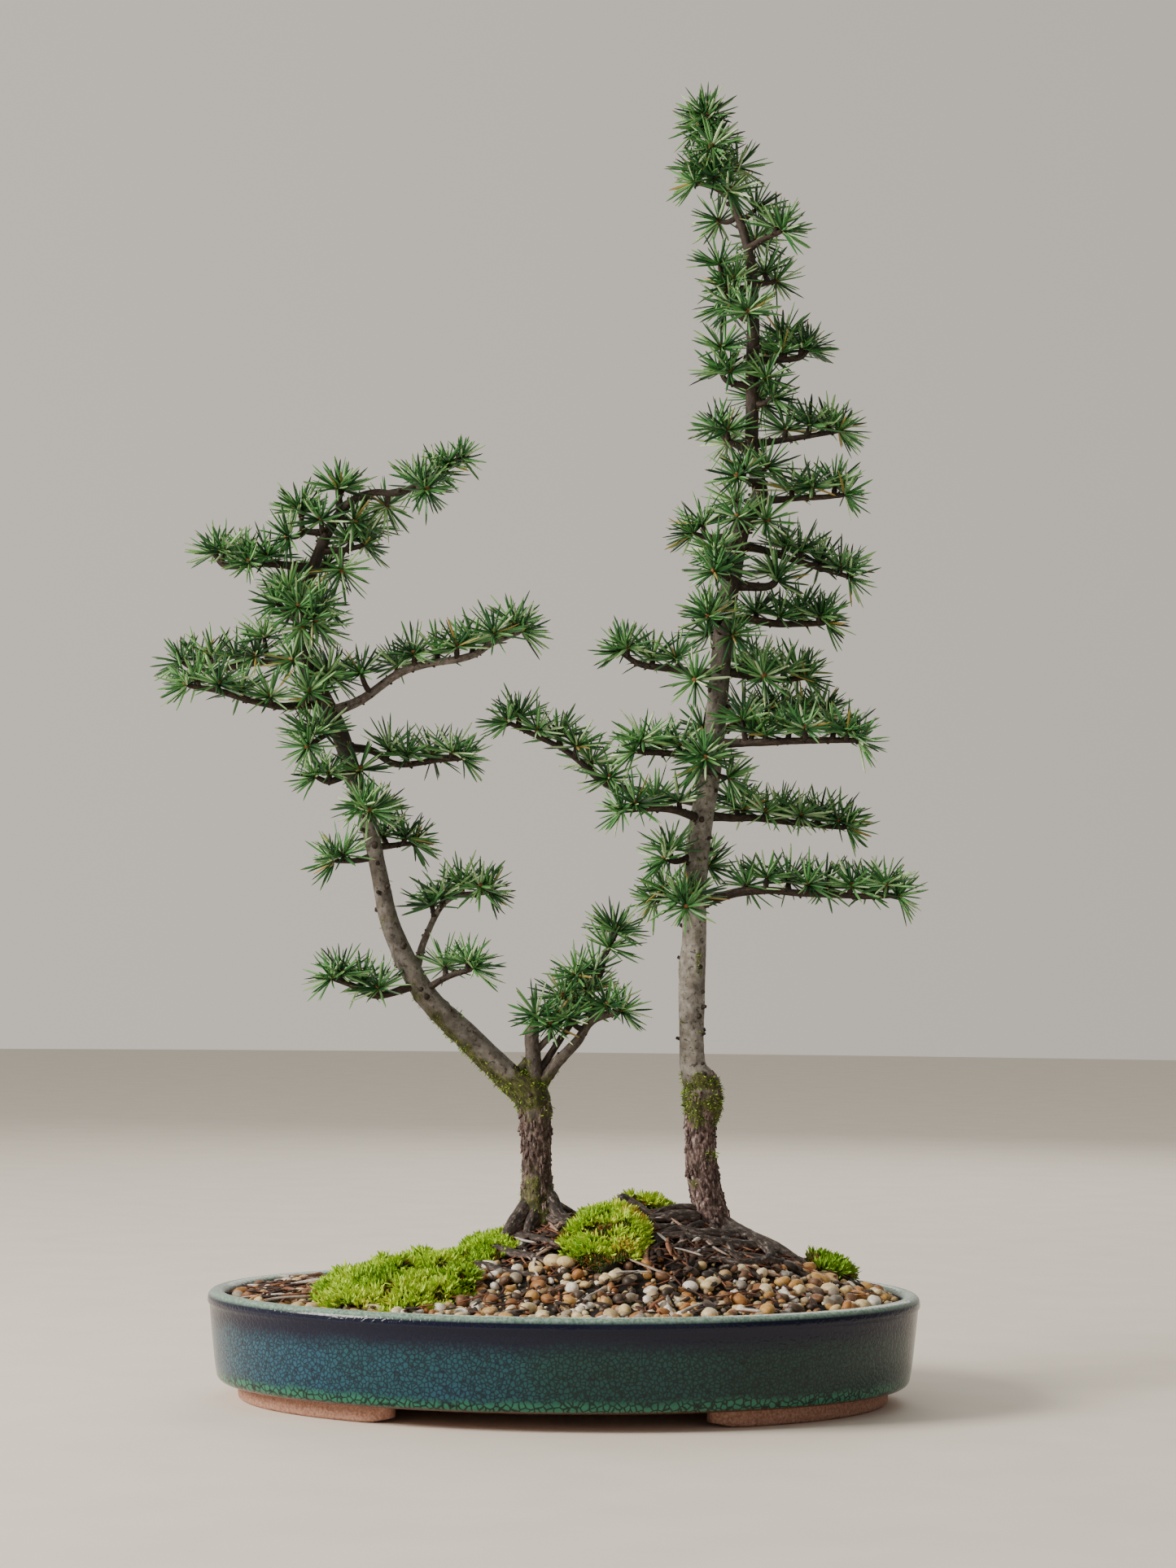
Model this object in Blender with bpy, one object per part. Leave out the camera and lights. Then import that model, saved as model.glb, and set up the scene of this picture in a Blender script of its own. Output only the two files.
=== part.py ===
"""Two cedar bonsai planted in a glazed oval pot: a leaning tree on the left and a tall upright one.

The pot stands on two low feet and has two drain holes, each under a square of plastic mesh.
It is filled with soil, which rises to a mound under the trees, with gravel and moss over it.
X runs along the pot, Y from front to back and Z up. The origin is under the middle of the whole
object's box, on the surface that the pot stands on. Lengths are in metres.
"""
import math

import bmesh
import bpy
import numpy as np
from mathutils import Vector

MM = 0.001

# The pot
POT_LENGTH = 0.350
POT_WIDTH = 0.260
POT_HEIGHT = 0.053
POT_X = 0.015            # the left crown overhangs the pot, so the pot stands right of the middle
RIM_WIDTH = 0.009        # the rim's top is a half round of this width
LIP_HEIGHT = 0.006
LIP_PROUD = 0.0008
WALL = 0.008
BATTER = 0.004           # how far the wall leans in between the lip and the bottom edge
BOTTOM_RADIUS = 0.0045
FLOOR = 0.007
FLOOR_CHAMFER = 0.006
FOOT_HEIGHT = 0.0085
FOOT_WIDTH = 0.012
FOOT_INSET = 0.0155
FOOT_GAP = 0.147         # the foot ring is interrupted for this width at the front and the back
FOOT_GAP_X = -0.005
FOOT_GAP_MARGIN = 0.001  # how far the cut between the feet reaches past the foot ring's outside
UNDERSIDE_RELIEF = 0.0005    # the underside is this much higher between the feet
HOLE_DIAMETER = 0.020
HOLE_SPACING = 0.140

# The mesh over each drain hole
MESH_OVERLAP = 0.006     # how far the mesh reaches past the hole
MESH_THICKNESS = 0.001
MESH_CELL = 0.007
MESH_STRAND = 0.002

# Soil, gravel and moss
SOIL_DROP = 0.0035       # the gravel's edge lies this far below the rim's top
GRAVEL_DEPTH = 0.006
MOUND_HEIGHT = 0.040
MOUND_LENGTH = 0.0985    # distance from the mound's top at which it has fallen to 1/e
MOUND_WIDTH = 0.065
MOUND_X = 0.030
MOUND_Y = 0.005

# The trees
LEFT_TREE_X = -0.013     # from the pot's middle
RIGHT_TREE_X = 0.074
TREES_Y = 0.005
LEFT_TREE_HEIGHT = 0.386
RIGHT_TREE_HEIGHT = 0.564

# Fits
CLEARANCE = 0.0003       # between pieces that touch
BARK_GAP = 0.0005        # between the wood and the needles, soil, gravel and moss round it

POT_SEGMENTS = 36
POT_CENTRE = (POT_X, 0.0)
SOIL_LINE = POT_HEIGHT - SOIL_DROP
FLOOR_TOP = FOOT_HEIGHT + FLOOR

# A trunk's points are x, y, z and diameter, in millimetres from the foot of the trunk.
LEFT_TRUNK = [
    (1, 0, -14, 22), (1, 0, 0, 21), (0, 0, 10, 17), (-1, 0, 26, 13.5), (-2, 0, 50, 14.5),
    (-4, 0, 64, 16.5), (-15, -1, 74, 13.5), (-36, -3, 94, 12.5), (-54, -5, 111, 11.3),
    (-65, -6, 128, 10.5), (-75, -7, 150, 9.5), (-81, -7, 176, 8.1), (-87, -5, 202, 8.1),
    (-93, -3, 219, 8), (-102, 0, 245, 9), (-113, 2, 266, 9.7), (-120, 3, 284, 8), (-123, 3, 299, 6.8),
    (-118, 2, 322, 6.2), (-110, 0, 343, 5.5), (-103, 0, 355, 4.8), (-95, -2, 362, 4),
    (-85, -3, 365, 3.5), (-73, -3, 365, 3.2), (-57, 0, 374, 3), (-39, 2, 386, 2.6),
]
RIGHT_TRUNK = [
    (1, 0, -14, 22), (0, 0, 0, 18), (-3, 0, 13, 15.4), (-7, 0, 34, 14.5), (-7, 0, 51, 14.2),
    (-6, 0, 62, 17.6), (-7, 0, 72, 16.5), (-11, 0, 80, 13.3), (-12, 0, 94, 12.2), (-12, 1, 128, 13.4),
    (-11, 2, 145, 12), (-11, 2, 169, 11.8), (-9, 1, 195, 11.8), (-4, 0, 228, 11.2), (-1, -2, 256, 10.4),
    (2, -3, 295, 10), (4, -3, 312, 9.6), (7, -2, 329, 9.2), (10, 0, 348, 9.8), (15, 1, 356, 9),
    (20, 2, 365, 8.4), (19, 3, 375, 7.6), (16, 3, 387, 7), (16, 2, 409, 6.6), (16, 0, 435, 6.8),
    (16, -1, 459, 6), (15, -1, 480, 5.2), (11, 0, 499, 4.6), (2, 1, 525, 3.8), (-6, 1, 550, 3),
    (-10, 0, 564, 2.4),
]

# A branch is its name, its route, its first and last diameter, the share of its route that is bare,
# and the radius of the needles round the rest. A route starts at the point of the trunk nearest to
# its first point. A bare branch or root has no radius. All are in millimetres from the trunk's foot.
LEFT_BRANCHES = [
    ("root_left", [(0, 0, 4), (-14, -6, -4), (-27, -10, -13)], 9, 4, 1, None),
    ("root_front", [(2, 0, 4), (9, -12, -4), (16, -25, -14)], 8, 4, 1, None),
    ("root_back", [(0, 0, 2), (-5, 13, -6), (-9, 27, -15)], 9, 4, 1, None),
    ("old_leader", [(-4, 0, 60), (-3, 0, 83), (-4, 0, 94), (-3, 0, 101)], 8.5, 6.5, 1, None),
    ("old_leader_spur", [(-3, 0, 86), (5, 0, 95)], 4, 3, 1, None),
    ("right_limb", [(-4, 0, 64), (7, 0, 80), (18, -1, 92), (26, -3, 103), (40, -9, 108)], 6.5, 3.4, 0.62, 14),
    ("right_limb_twig", [(24, -3, 101), (26, 5, 119), (31, 7, 134), (38, 4, 147)], 3.6, 2.2, 0.42, 14),
    ("low_left", [(-61, -5, 120), (-80, -13, 114), (-93, -15, 119), (-103, -17, 122)], 3.8, 2.4, 0.3, 12),
    ("low_forward", [(-56, -5, 118), (-47, -12, 123), (-33, -16, 128)], 3.4, 2.4, 0.3, 11),
    ("low_upright", [(-62, -5, 124), (-58, 3, 142), (-47, 7, 162), (-27, 10, 166)], 3.8, 2.4, 0.4, 14),
    ("second_left", [(-83, -5, 183), (-92, -8, 181), (-103, -10, 180)], 3.2, 2.2, 0.25, 12),
    ("second_right", [(-81, 0, 187), (-73, 7, 189), (-65, 12, 190)], 3.2, 2.2, 0.25, 12),
    ("front_spur", [(-86, -5, 201), (-84, -25, 205)], 3, 2.2, 0.2, 12),
    ("third_left", [(-93, 0, 226), (-106, -3, 220), (-113, -5, 222)], 3.4, 2.4, 0.3, 12),
    ("third_right", [(-101, 0, 237), (-86, 3, 236), (-73, 3, 229), (-51, 4, 232), (-40, 4, 233)],
     4, 2.4, 0.25, 12),
    ("middle_front", [(-105, 0, 247), (-115, -26, 236)], 3.4, 2.4, 0.35, 12),
    ("long_right", [(-108, 0, 254), (-90, 0, 262), (-69, -2, 276), (-38, -4, 283), (-26, -2, 290),
                    (-12, 0, 296)], 5, 2.6, 0.3, 13),
    ("long_left_front", [(-111, 0, 258), (-134, -16, 257), (-159, -25, 263), (-175, -28, 265)],
     4.2, 2.4, 0.35, 12),
    ("long_left_back", [(-120, 3, 284), (-147, 12, 280), (-172, 14, 276), (-183, 14, 280)], 4.2, 2.4, 0.3, 12),
    ("crown_front", [(-123, 3, 297), (-122, -18, 305)], 3.4, 2.4, 0.35, 13),
    ("crown_back", [(-121, 3, 310), (-128, 24, 318)], 3.4, 2.4, 1, None),
    ("crown_left", [(-117, 0, 327), (-140, 0, 329), (-159, 2, 328), (-166, 2, 334)], 3.8, 3, 0.3, 11),
    ("crown_right", [(-111, 0, 335), (-102, 0, 336), (-91, 2, 339)], 3.4, 2.4, 0.35, 11),
    ("crown_upper_left", [(-109, 0, 345), (-121, 0, 346), (-122, 0, 356)], 3.2, 2.4, 1, None),
    ("crown_top", [(-103, 0, 355), (-104, -4, 367)], 3.4, 2.4, 0.3, 13),
]
RIGHT_BRANCHES = [
    ("cut_root", [(0, 0, -4), (-20, -6, -4), (-33, -8, 6), (-48, -8, 16)], 11, 7, 1, None),
    ("root_right", [(0, 0, 4), (16, -5, -3), (34, -9, -10), (50, -12, -20)], 11, 4, 1, None),
    ("root_front", [(0, 0, 2), (-4, -16, -5), (-12, -32, -14)], 10, 4, 1, None),
    ("root_right_back", [(0, 0, 2), (12, 12, -4), (30, 20, -14)], 9, 4, 1, None),
    ("low_right", [(-10, 0, 160), (9, -5, 167), (25, -7, 168), (60, -8, 166), (89, -8, 166)], 5, 2.6, 0.3, 12),
    ("low_front", [(-11, 0, 162), (-16, -30, 159)], 3.6, 2.4, 0.4, 13),
    ("low_left", [(-12, 0, 168), (-22, 2, 166), (-31, 4, 163)], 3.4, 2.4, 0.35, 10),
    ("low_back", [(-11, 0, 176), (-4, 26, 180)], 3.4, 2.4, 1, None),
    ("second_left", [(-10, 0, 186), (-20, -5, 182), (-26, -8, 183)], 3.2, 2.4, 0.3, 11),
    ("second_right", [(-5, 0, 205), (9, 6, 205), (37, 14, 203), (66, 16, 201)], 4.4, 2.6, 0.3, 12),
    ("third_left", [(-9, 0, 203), (-23, -16, 207), (-37, -22, 207), (-48, -25, 206)], 4.2, 2.4, 0.25, 12),
    ("long_left", [(-9, 0, 212), (-46, 12, 219), (-60, 14, 225), (-76, 14, 238), (-105, 12, 252)],
     4.6, 2.4, 0.4, 11),
    ("middle_front", [(-6, 0, 226), (-7, -30, 232)], 3.8, 2.4, 0.4, 12),
    ("middle_left", [(-4, 0, 236), (-22, -8, 236), (-42, -12, 236)], 4, 2.4, 0.3, 12),
    ("middle_right", [(-2, 0, 241), (17, -15, 241), (49, -22, 242), (68, -24, 242)], 4.6, 2.6, 0.2, 12),
    ("middle_back", [(-1, 0, 247), (21, 24, 255), (57, 33, 258)], 4.4, 2.4, 0.3, 12),
    ("upper_left", [(0, 0, 276), (-26, 2, 279), (-39, 4, 281), (-49, 4, 287)], 4.2, 2.4, 0.3, 12),
    ("upper_right", [(1, 0, 277), (27, 3, 274), (44, 4, 275)], 4, 2.4, 0.3, 12),
    ("upper_front", [(2, 0, 296), (-6, -26, 302)], 3.6, 2.4, 0.35, 12),
    ("fourth_right", [(4, 0, 304), (23, 4, 303), (36, 6, 302), (54, 6, 303)], 4.4, 2.8, 0.25, 12),
    ("short_stub", [(7, 0, 321), (23, -2, 320), (29, -2, 323)], 4.4, 3.6, 1, None),
    ("fourth_front", [(7, 0, 324), (-3, -22, 325)], 3.4, 2.4, 0.35, 11),
    ("fourth_back", [(8, 0, 330), (2, 24, 336)], 3.4, 2.4, 1, None),
    ("fifth_right", [(10, 0, 341), (25, 3, 338), (48, 6, 331), (65, 6, 326)], 4.2, 2.4, 0.3, 12),
    ("fifth_left", [(10, 0, 346), (-4, 4, 345), (-13, 4, 347)], 3.6, 2.4, 0.35, 10),
    ("sixth_right", [(20, 0, 365), (33, -2, 364), (62, -4, 366)], 4, 2.4, 0.2, 12),
    ("sixth_left", [(19, 0, 371), (8, -16, 373)], 3.4, 2.4, 0.35, 11),
    ("seventh_right", [(16, 0, 392), (33, 3, 395), (60, 5, 400)], 3.6, 2.4, 0.25, 11),
    ("seventh_left", [(16, 0, 388), (4, 2, 394), (-2, 2, 400)], 3.4, 2.4, 0.3, 11),
    ("upper_trunk_back", [(16, 0, 412), (22, 22, 416)], 3.2, 2.2, 1, None),
    ("eighth_left", [(16, 0, 421), (4, -3, 423), (0, -4, 428)], 3.2, 2.2, 1, None),
    ("eighth_right", [(16, 0, 434), (38, 2, 436), (44, 2, 440)], 3.6, 2.4, 0.25, 11),
    ("ninth_front", [(15, 0, 452), (12, -22, 454)], 3.2, 2.2, 0.35, 12),
    ("tenth_right", [(15, 0, 472), (28, 12, 477)], 3, 2.2, 0.35, 10),
    ("tenth_left", [(15, 0, 470), (3, 2, 472)], 3, 2.2, 1, None),
    ("top_right", [(12, 0, 490), (20, -6, 494), (30, -9, 498)], 3.2, 2.2, 0.3, 11),
    ("top_left", [(5, 0, 517), (-4, -3, 521), (-14, -5, 523)], 3, 2.2, 0.3, 10),
]
# Needles round the trunk's own tip: the share of the trunk that is bare of them, and their radius.
LEFT_LEADER = (0.93, 11)
RIGHT_LEADER = (0.94, 11)

# A moss cushion is its name, its middle from the pot's middle, its half length, half width and height.
MOSS = [
    ("moss_front_left", -0.080, -0.048, 0.039, 0.042, 0.018),
    ("moss_beside_left_trunk", -0.038, 0.004, 0.014, 0.018, 0.008),
    ("moss_between_trees", 0.020, -0.028, 0.023, 0.030, 0.016),
    ("moss_behind_root", 0.040, 0.024, 0.016, 0.014, 0.012),
    ("moss_right", 0.131, 0.006, 0.013, 0.015, 0.009),
]
MOSS_SINK = 0.004

GLAZE = ((0.06, 0.16, 0.17), 0.25)
PLASTIC = ((0.02, 0.02, 0.02), 0.5)
SOIL_BROWN = ((0.06, 0.04, 0.03), 0.9)
GRAVEL_TAN = ((0.42, 0.28, 0.17), 0.7)
MOSS_GREEN = ((0.25, 0.42, 0.05), 0.9)
BARK = ((0.17, 0.12, 0.09), 0.85)
NEEDLE_GREEN = ((0.07, 0.21, 0.12), 0.6)

for old in list(bpy.data.objects):
    bpy.data.objects.remove(old, do_unlink=True)
parts = bpy.data.collections.new("bonsai")
cutters = bpy.data.collections.new("cutters")
bpy.context.scene.collection.children.link(parts)
bpy.context.scene.collection.children.link(cutters)


def material(name, finish):
    """A plain material of one colour and roughness."""
    colour, roughness = finish
    made = bpy.data.materials.get(name)
    if made is None:
        made = bpy.data.materials.new(name)
        made.use_nodes = True
        shader = made.node_tree.nodes["Principled BSDF"]
        shader.inputs["Base Color"].default_value = (*colour, 1.0)
        shader.inputs["Roughness"].default_value = roughness
    return made


def add_part(name, mesh, finish_name, finish):
    """Put a mesh in the parts collection as the node of this name."""
    part = bpy.data.objects.new(name, mesh)
    mesh.materials.append(material(finish_name, finish))
    mesh.shade_smooth()
    mesh.set_sharp_from_angle(angle=math.radians(35))
    parts.objects.link(part)
    return part


def add_cutter(name, mesh):
    """Put a mesh in the cutters collection, hidden from the render."""
    cutter = bpy.data.objects.new(name, mesh)
    cutter.hide_render = True
    cutter.display_type = "WIRE"
    cutters.objects.link(cutter)
    return cutter


def combine(target, other, operation):
    """Cut other from target, or join it on."""
    boolean = target.modifiers.new(f"{operation.lower()}_{other.name}"[:60], "BOOLEAN")
    boolean.operation = operation
    boolean.solver = "EXACT"
    boolean.object = other


def loft(name, rings, centre, segments):
    """A closed solid through elliptical rings, with a middle point closing the first and the last.

    A ring is its half length, its half width, and its height as a function of x and y. The rings run
    outwards over the underside, up the side, and inwards over the top. Each cell is split along the
    same diagonal whichever way the rings run, so that a top and the underside on it stay parallel.
    """
    turn = np.linspace(0.0, 2 * np.pi, segments, endpoint=False)
    points = []
    for half_length, half_width, height in rings:
        x = centre[0] + half_length * np.cos(turn)
        y = centre[1] + half_width * np.sin(turn)
        points.append(np.column_stack([x, y, np.broadcast_to(height(x, y), x.shape)]))
    middles = [(centre[0], centre[1], float(rings[end][2](*map(np.float64, centre)))) for end in (0, -1)]
    vertices = np.vstack(points + [middles])
    faces = []
    for ring in range(len(rings) - 1):
        for step in range(segments):
            after = (step + 1) % segments
            low, high = ring * segments, (ring + 1) * segments
            if rings[ring][0] > rings[ring + 1][0]:
                faces.append((low + step, low + after, high + after))
                faces.append((low + step, high + after, high + step))
            else:
                faces.append((low + step, low + after, high + step))
                faces.append((low + after, high + after, high + step))
    bottom, top = len(vertices) - 2, len(vertices) - 1
    last = (len(rings) - 1) * segments
    for step in range(segments):
        after = (step + 1) % segments
        faces.append((bottom, after, step))
        faces.append((top, last + step, last + after))
    mesh = bpy.data.meshes.new(name)
    mesh.from_pydata(vertices.tolist(), [], faces)
    return mesh


def level(height):
    """A flat height function."""
    return lambda x, y: height


def box_mesh(name, size, centre):
    """A box of this size about this centre."""
    shape = bmesh.new()
    bmesh.ops.create_cube(shape, size=1.0)
    bmesh.ops.scale(shape, vec=size, verts=shape.verts)
    bmesh.ops.translate(shape, vec=centre, verts=shape.verts)
    mesh = bpy.data.meshes.new(name)
    shape.to_mesh(mesh)
    shape.free()
    return mesh


def tube_meshes(tubes):
    """Closed meshes of tapered tubes, each given as a name, points, radii and bevel resolution."""
    curves = []
    for name, points, radii, resolution in tubes:
        curve = bpy.data.curves.new(name, "CURVE")
        curve.dimensions = "3D"
        curve.bevel_depth = 1.0
        curve.bevel_resolution = resolution
        curve.use_fill_caps = True
        spline = curve.splines.new("POLY")
        spline.points.add(len(points) - 1)
        for knot, place, radius in zip(spline.points, points, radii):
            knot.co = (*place, 1.0)
            knot.radius = radius
        holder = bpy.data.objects.new(name, curve)
        cutters.objects.link(holder)
        curves.append(holder)
    bpy.context.view_layer.update()
    depsgraph = bpy.context.evaluated_depsgraph_get()
    meshes = []
    for holder in curves:
        mesh = bpy.data.meshes.new_from_object(holder.evaluated_get(depsgraph))
        shape = bmesh.new()
        shape.from_mesh(mesh)
        bmesh.ops.remove_doubles(shape, verts=shape.verts, dist=0.00001)
        bmesh.ops.recalc_face_normals(shape, faces=shape.faces)
        shape.to_mesh(mesh)
        shape.free()
        meshes.append(mesh)
    for holder in curves:
        bpy.data.objects.remove(holder, do_unlink=True)
    return meshes


# ---- Pot -------------------------------------------------------------------------------------------

def pot_profile():
    """The pot's section as offset in from the lip and height, from the underside round to the floor."""
    foot_inner = FOOT_INSET + FOOT_WIDTH
    wall_foot = LIP_PROUD + BATTER
    profile = [(foot_inner, FOOT_HEIGHT), (foot_inner, 0.0), (FOOT_INSET, 0.0), (FOOT_INSET, FOOT_HEIGHT)]
    for angle in np.radians([0, 30, 60, 90]):
        profile.append((wall_foot + BOTTOM_RADIUS * (1 - math.sin(angle)),
                        FOOT_HEIGHT + BOTTOM_RADIUS * (1 - math.cos(angle))))
    profile.append((LIP_PROUD, POT_HEIGHT - LIP_HEIGHT - LIP_PROUD))
    profile.append((0.0, POT_HEIGHT - LIP_HEIGHT))
    half = RIM_WIDTH / 2
    for angle in np.radians([0, 45, 90, 135, 180]):
        profile.append((half - half * math.cos(angle), POT_HEIGHT - half + half * math.sin(angle)))
    profile.append((wall_foot + WALL, FLOOR_TOP + FLOOR_CHAMFER))
    profile.append((wall_foot + WALL + FLOOR_CHAMFER, FLOOR_TOP))
    return profile


def inner_offset(height):
    """How far the inside of the wall lies in from the lip at this height."""
    top, bottom = POT_HEIGHT - RIM_WIDTH / 2, FLOOR_TOP + FLOOR_CHAMFER
    share = (height - bottom) / (top - bottom)
    return (LIP_PROUD + BATTER + WALL) * (1 - share) + RIM_WIDTH * share


def oval(offset):
    """Half length and half width of the pot's outline moved in by an offset."""
    return POT_LENGTH / 2 - offset, POT_WIDTH / 2 - offset


def make_pot():
    """The oval pot, with its foot ring cut into two feet and its drain holes cut through the floor."""
    rings = [(*oval(offset), level(height)) for offset, height in pot_profile()]
    pot = add_part("pot", loft("pot", rings, POT_CENTRE, POT_SEGMENTS), "glaze", GLAZE)
    outline = oval(FOOT_INSET - FOOT_GAP_MARGIN)
    rings = [(*outline, level(-FOOT_HEIGHT)), (*outline, level(FOOT_HEIGHT + UNDERSIDE_RELIEF))]
    between_feet = add_cutter("between_feet", loft("between_feet", rings, POT_CENTRE, POT_SEGMENTS))
    gap = box_mesh("foot_gap", (FOOT_GAP, POT_WIDTH, 4 * FOOT_HEIGHT), (POT_X + FOOT_GAP_X, 0.0, 0.0))
    combine(between_feet, add_cutter("foot_gap", gap), "INTERSECT")
    combine(pot, between_feet, "DIFFERENCE")
    for side, x in drain_holes():
        shape = bmesh.new()
        bmesh.ops.create_cone(shape, cap_ends=True, segments=16, radius1=HOLE_DIAMETER / 2,
                              radius2=HOLE_DIAMETER / 2, depth=4 * FLOOR)
        bmesh.ops.translate(shape, vec=(x, 0.0, FLOOR_TOP - FLOOR / 2), verts=shape.verts)
        mesh = bpy.data.meshes.new(f"drain_hole_{side}")
        shape.to_mesh(mesh)
        shape.free()
        combine(pot, add_cutter(f"drain_hole_{side}", mesh), "DIFFERENCE")


def drain_holes():
    """Each drain hole's side and its place along the pot."""
    return (("left", POT_X - HOLE_SPACING / 2), ("right", POT_X + HOLE_SPACING / 2))


def make_drain_mesh(side, x):
    """A square of plastic mesh on the floor over a drain hole, and the pocket in the soil round it."""
    size = HOLE_DIAMETER + 2 * MESH_OVERLAP
    middle = FLOOR_TOP + CLEARANCE + MESH_THICKNESS / 2
    plate = box_mesh(f"drain_mesh_{side}", (size, size, MESH_THICKNESS), (x, 0.0, middle))
    drain_mesh = add_part(f"drain_mesh_{side}", plate, "black_plastic", PLASTIC)
    count = int((size - MESH_STRAND) / MESH_CELL)
    shape = bmesh.new()
    for column in range(count):
        for row in range(count):
            cell = bmesh.ops.create_cube(shape, size=1.0)["verts"]
            opening = MESH_CELL - MESH_STRAND
            bmesh.ops.scale(shape, vec=(opening, opening, 3 * MESH_THICKNESS), verts=cell)
            place = (x + (column - (count - 1) / 2) * MESH_CELL, (row - (count - 1) / 2) * MESH_CELL, middle)
            bmesh.ops.translate(shape, vec=place, verts=cell)
    mesh = bpy.data.meshes.new(f"mesh_cells_{side}")
    shape.to_mesh(mesh)
    shape.free()
    combine(drain_mesh, add_cutter(f"mesh_cells_{side}", mesh), "DIFFERENCE")
    pocket_size = size + 2 * CLEARANCE
    pocket = box_mesh(f"mesh_pocket_{side}", (pocket_size, pocket_size, MESH_THICKNESS + 4 * CLEARANCE),
                      (x, 0.0, middle))
    return add_cutter(f"mesh_pocket_{side}", pocket)


# ---- Soil, gravel and moss --------------------------------------------------------------------------

def ground(x, y):
    """Height of the gravel: level at the pot's wall, with a mound under the trees."""
    across = ((x - POT_X) / (POT_LENGTH / 2 - RIM_WIDTH)) ** 2 + (y / (POT_WIDTH / 2 - RIM_WIDTH)) ** 2
    edge = 1 - np.clip(across, 0, 1) ** 4
    along = ((x - POT_X - MOUND_X) / MOUND_LENGTH) ** 2
    return SOIL_LINE + MOUND_HEIGHT * edge * np.exp(-along - ((y - MOUND_Y) / MOUND_WIDTH) ** 2)


def ground_rings(drop, offset, inwards):
    """Rings over the ground, lowered by a drop, inside an offset from the lip."""
    half_length, half_width = oval(offset)
    rings = [(share * half_length, share * half_width, lambda x, y: ground(x, y) - drop)
             for share in (0.25, 0.5, 0.75, 1.0)]
    return rings[::-1] if inwards else rings


def make_ground(pockets, wood_cutters):
    """Soil that fills the pot, the gravel over it, and a cutter of all that lies under the gravel."""
    chamfer_offset = inner_offset(FLOOR_TOP + FLOOR_CHAMFER) + CLEARANCE
    side_offset = inner_offset(SOIL_LINE - GRAVEL_DEPTH) + CLEARANCE
    rings = [(*oval(chamfer_offset + FLOOR_CHAMFER), level(FLOOR_TOP + CLEARANCE)),
             (*oval(chamfer_offset), level(FLOOR_TOP + FLOOR_CHAMFER + CLEARANCE))]
    rings += ground_rings(GRAVEL_DEPTH, side_offset, True)
    soil = add_part("soil", loft("soil", rings, POT_CENTRE, POT_SEGMENTS), "soil", SOIL_BROWN)
    for pocket in pockets:
        combine(soil, pocket, "DIFFERENCE")
    rings = ground_rings(GRAVEL_DEPTH - CLEARANCE, side_offset, False) + ground_rings(0.0, side_offset, True)
    gravel = add_part("gravel", loft("gravel", rings, POT_CENTRE, POT_SEGMENTS), "gravel", GRAVEL_TAN)
    for piece in (soil, gravel):
        for cutter in wood_cutters:
            combine(piece, cutter, "DIFFERENCE")
    rings = [(*oval(side_offset), level(0.0))] + ground_rings(-CLEARANCE, side_offset, True)
    return add_cutter("under_gravel", loft("under_gravel", rings, POT_CENTRE, POT_SEGMENTS))


def make_moss(cushion, under_gravel, wood_cutters):
    """One moss cushion, thickest in its middle, lying on the gravel."""
    name, x, y, half_length, half_width, thickness = cushion
    centre = (POT_X + x, y)

    def swell(px, py):
        across = ((px - centre[0]) / half_length) ** 2 + ((py - centre[1]) / half_width) ** 2
        return ground(px, py) + thickness * np.sqrt(np.clip(1 - 0.96 * across, 0, 1))

    rings = [(half_length, half_width, lambda px, py: ground(px, py) - MOSS_SINK)]
    rings += [(share * half_length, share * half_width, swell) for share in (1.0, 0.85, 0.5)]
    moss = add_part(name, loft(name, rings, centre, 12), "moss", MOSS_GREEN)
    for cutter in (under_gravel, *wood_cutters):
        combine(moss, cutter, "DIFFERENCE")


# ---- Trees ------------------------------------------------------------------------------------------

def nearest_on(points, target):
    """The point of a polyline that is nearest to a target."""
    best = None
    for start, end in zip(points, points[1:]):
        along = end - start
        share = min(1.0, max(0.0, (target - start).dot(along) / along.length_squared))
        place = start + share * along
        if best is None or (place - target).length < (best - target).length:
            best = place
    return best


def swell_ends(points, length):
    """A route made longer by this length at both ends."""
    first = points[0] + (points[0] - points[1]).normalized() * length
    last = points[-1] + (points[-1] - points[-2]).normalized() * length
    return [first, *points[1:-1], last]


def part_of_route(points, start, overshoot, count):
    """Even points from a share of a route to a length past its end."""
    points = [*points[:-1], points[-1] + (points[-1] - points[-2]).normalized() * overshoot]
    lengths = np.cumsum([0.0] + [(end - begin).length for begin, end in zip(points, points[1:])])
    wanted = np.linspace(start * (lengths[-1] - overshoot), lengths[-1], count)
    axes = [np.interp(wanted, lengths, [point[axis] for point in points]) for axis in range(3)]
    return [Vector(place) for place in zip(*axes)]


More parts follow.
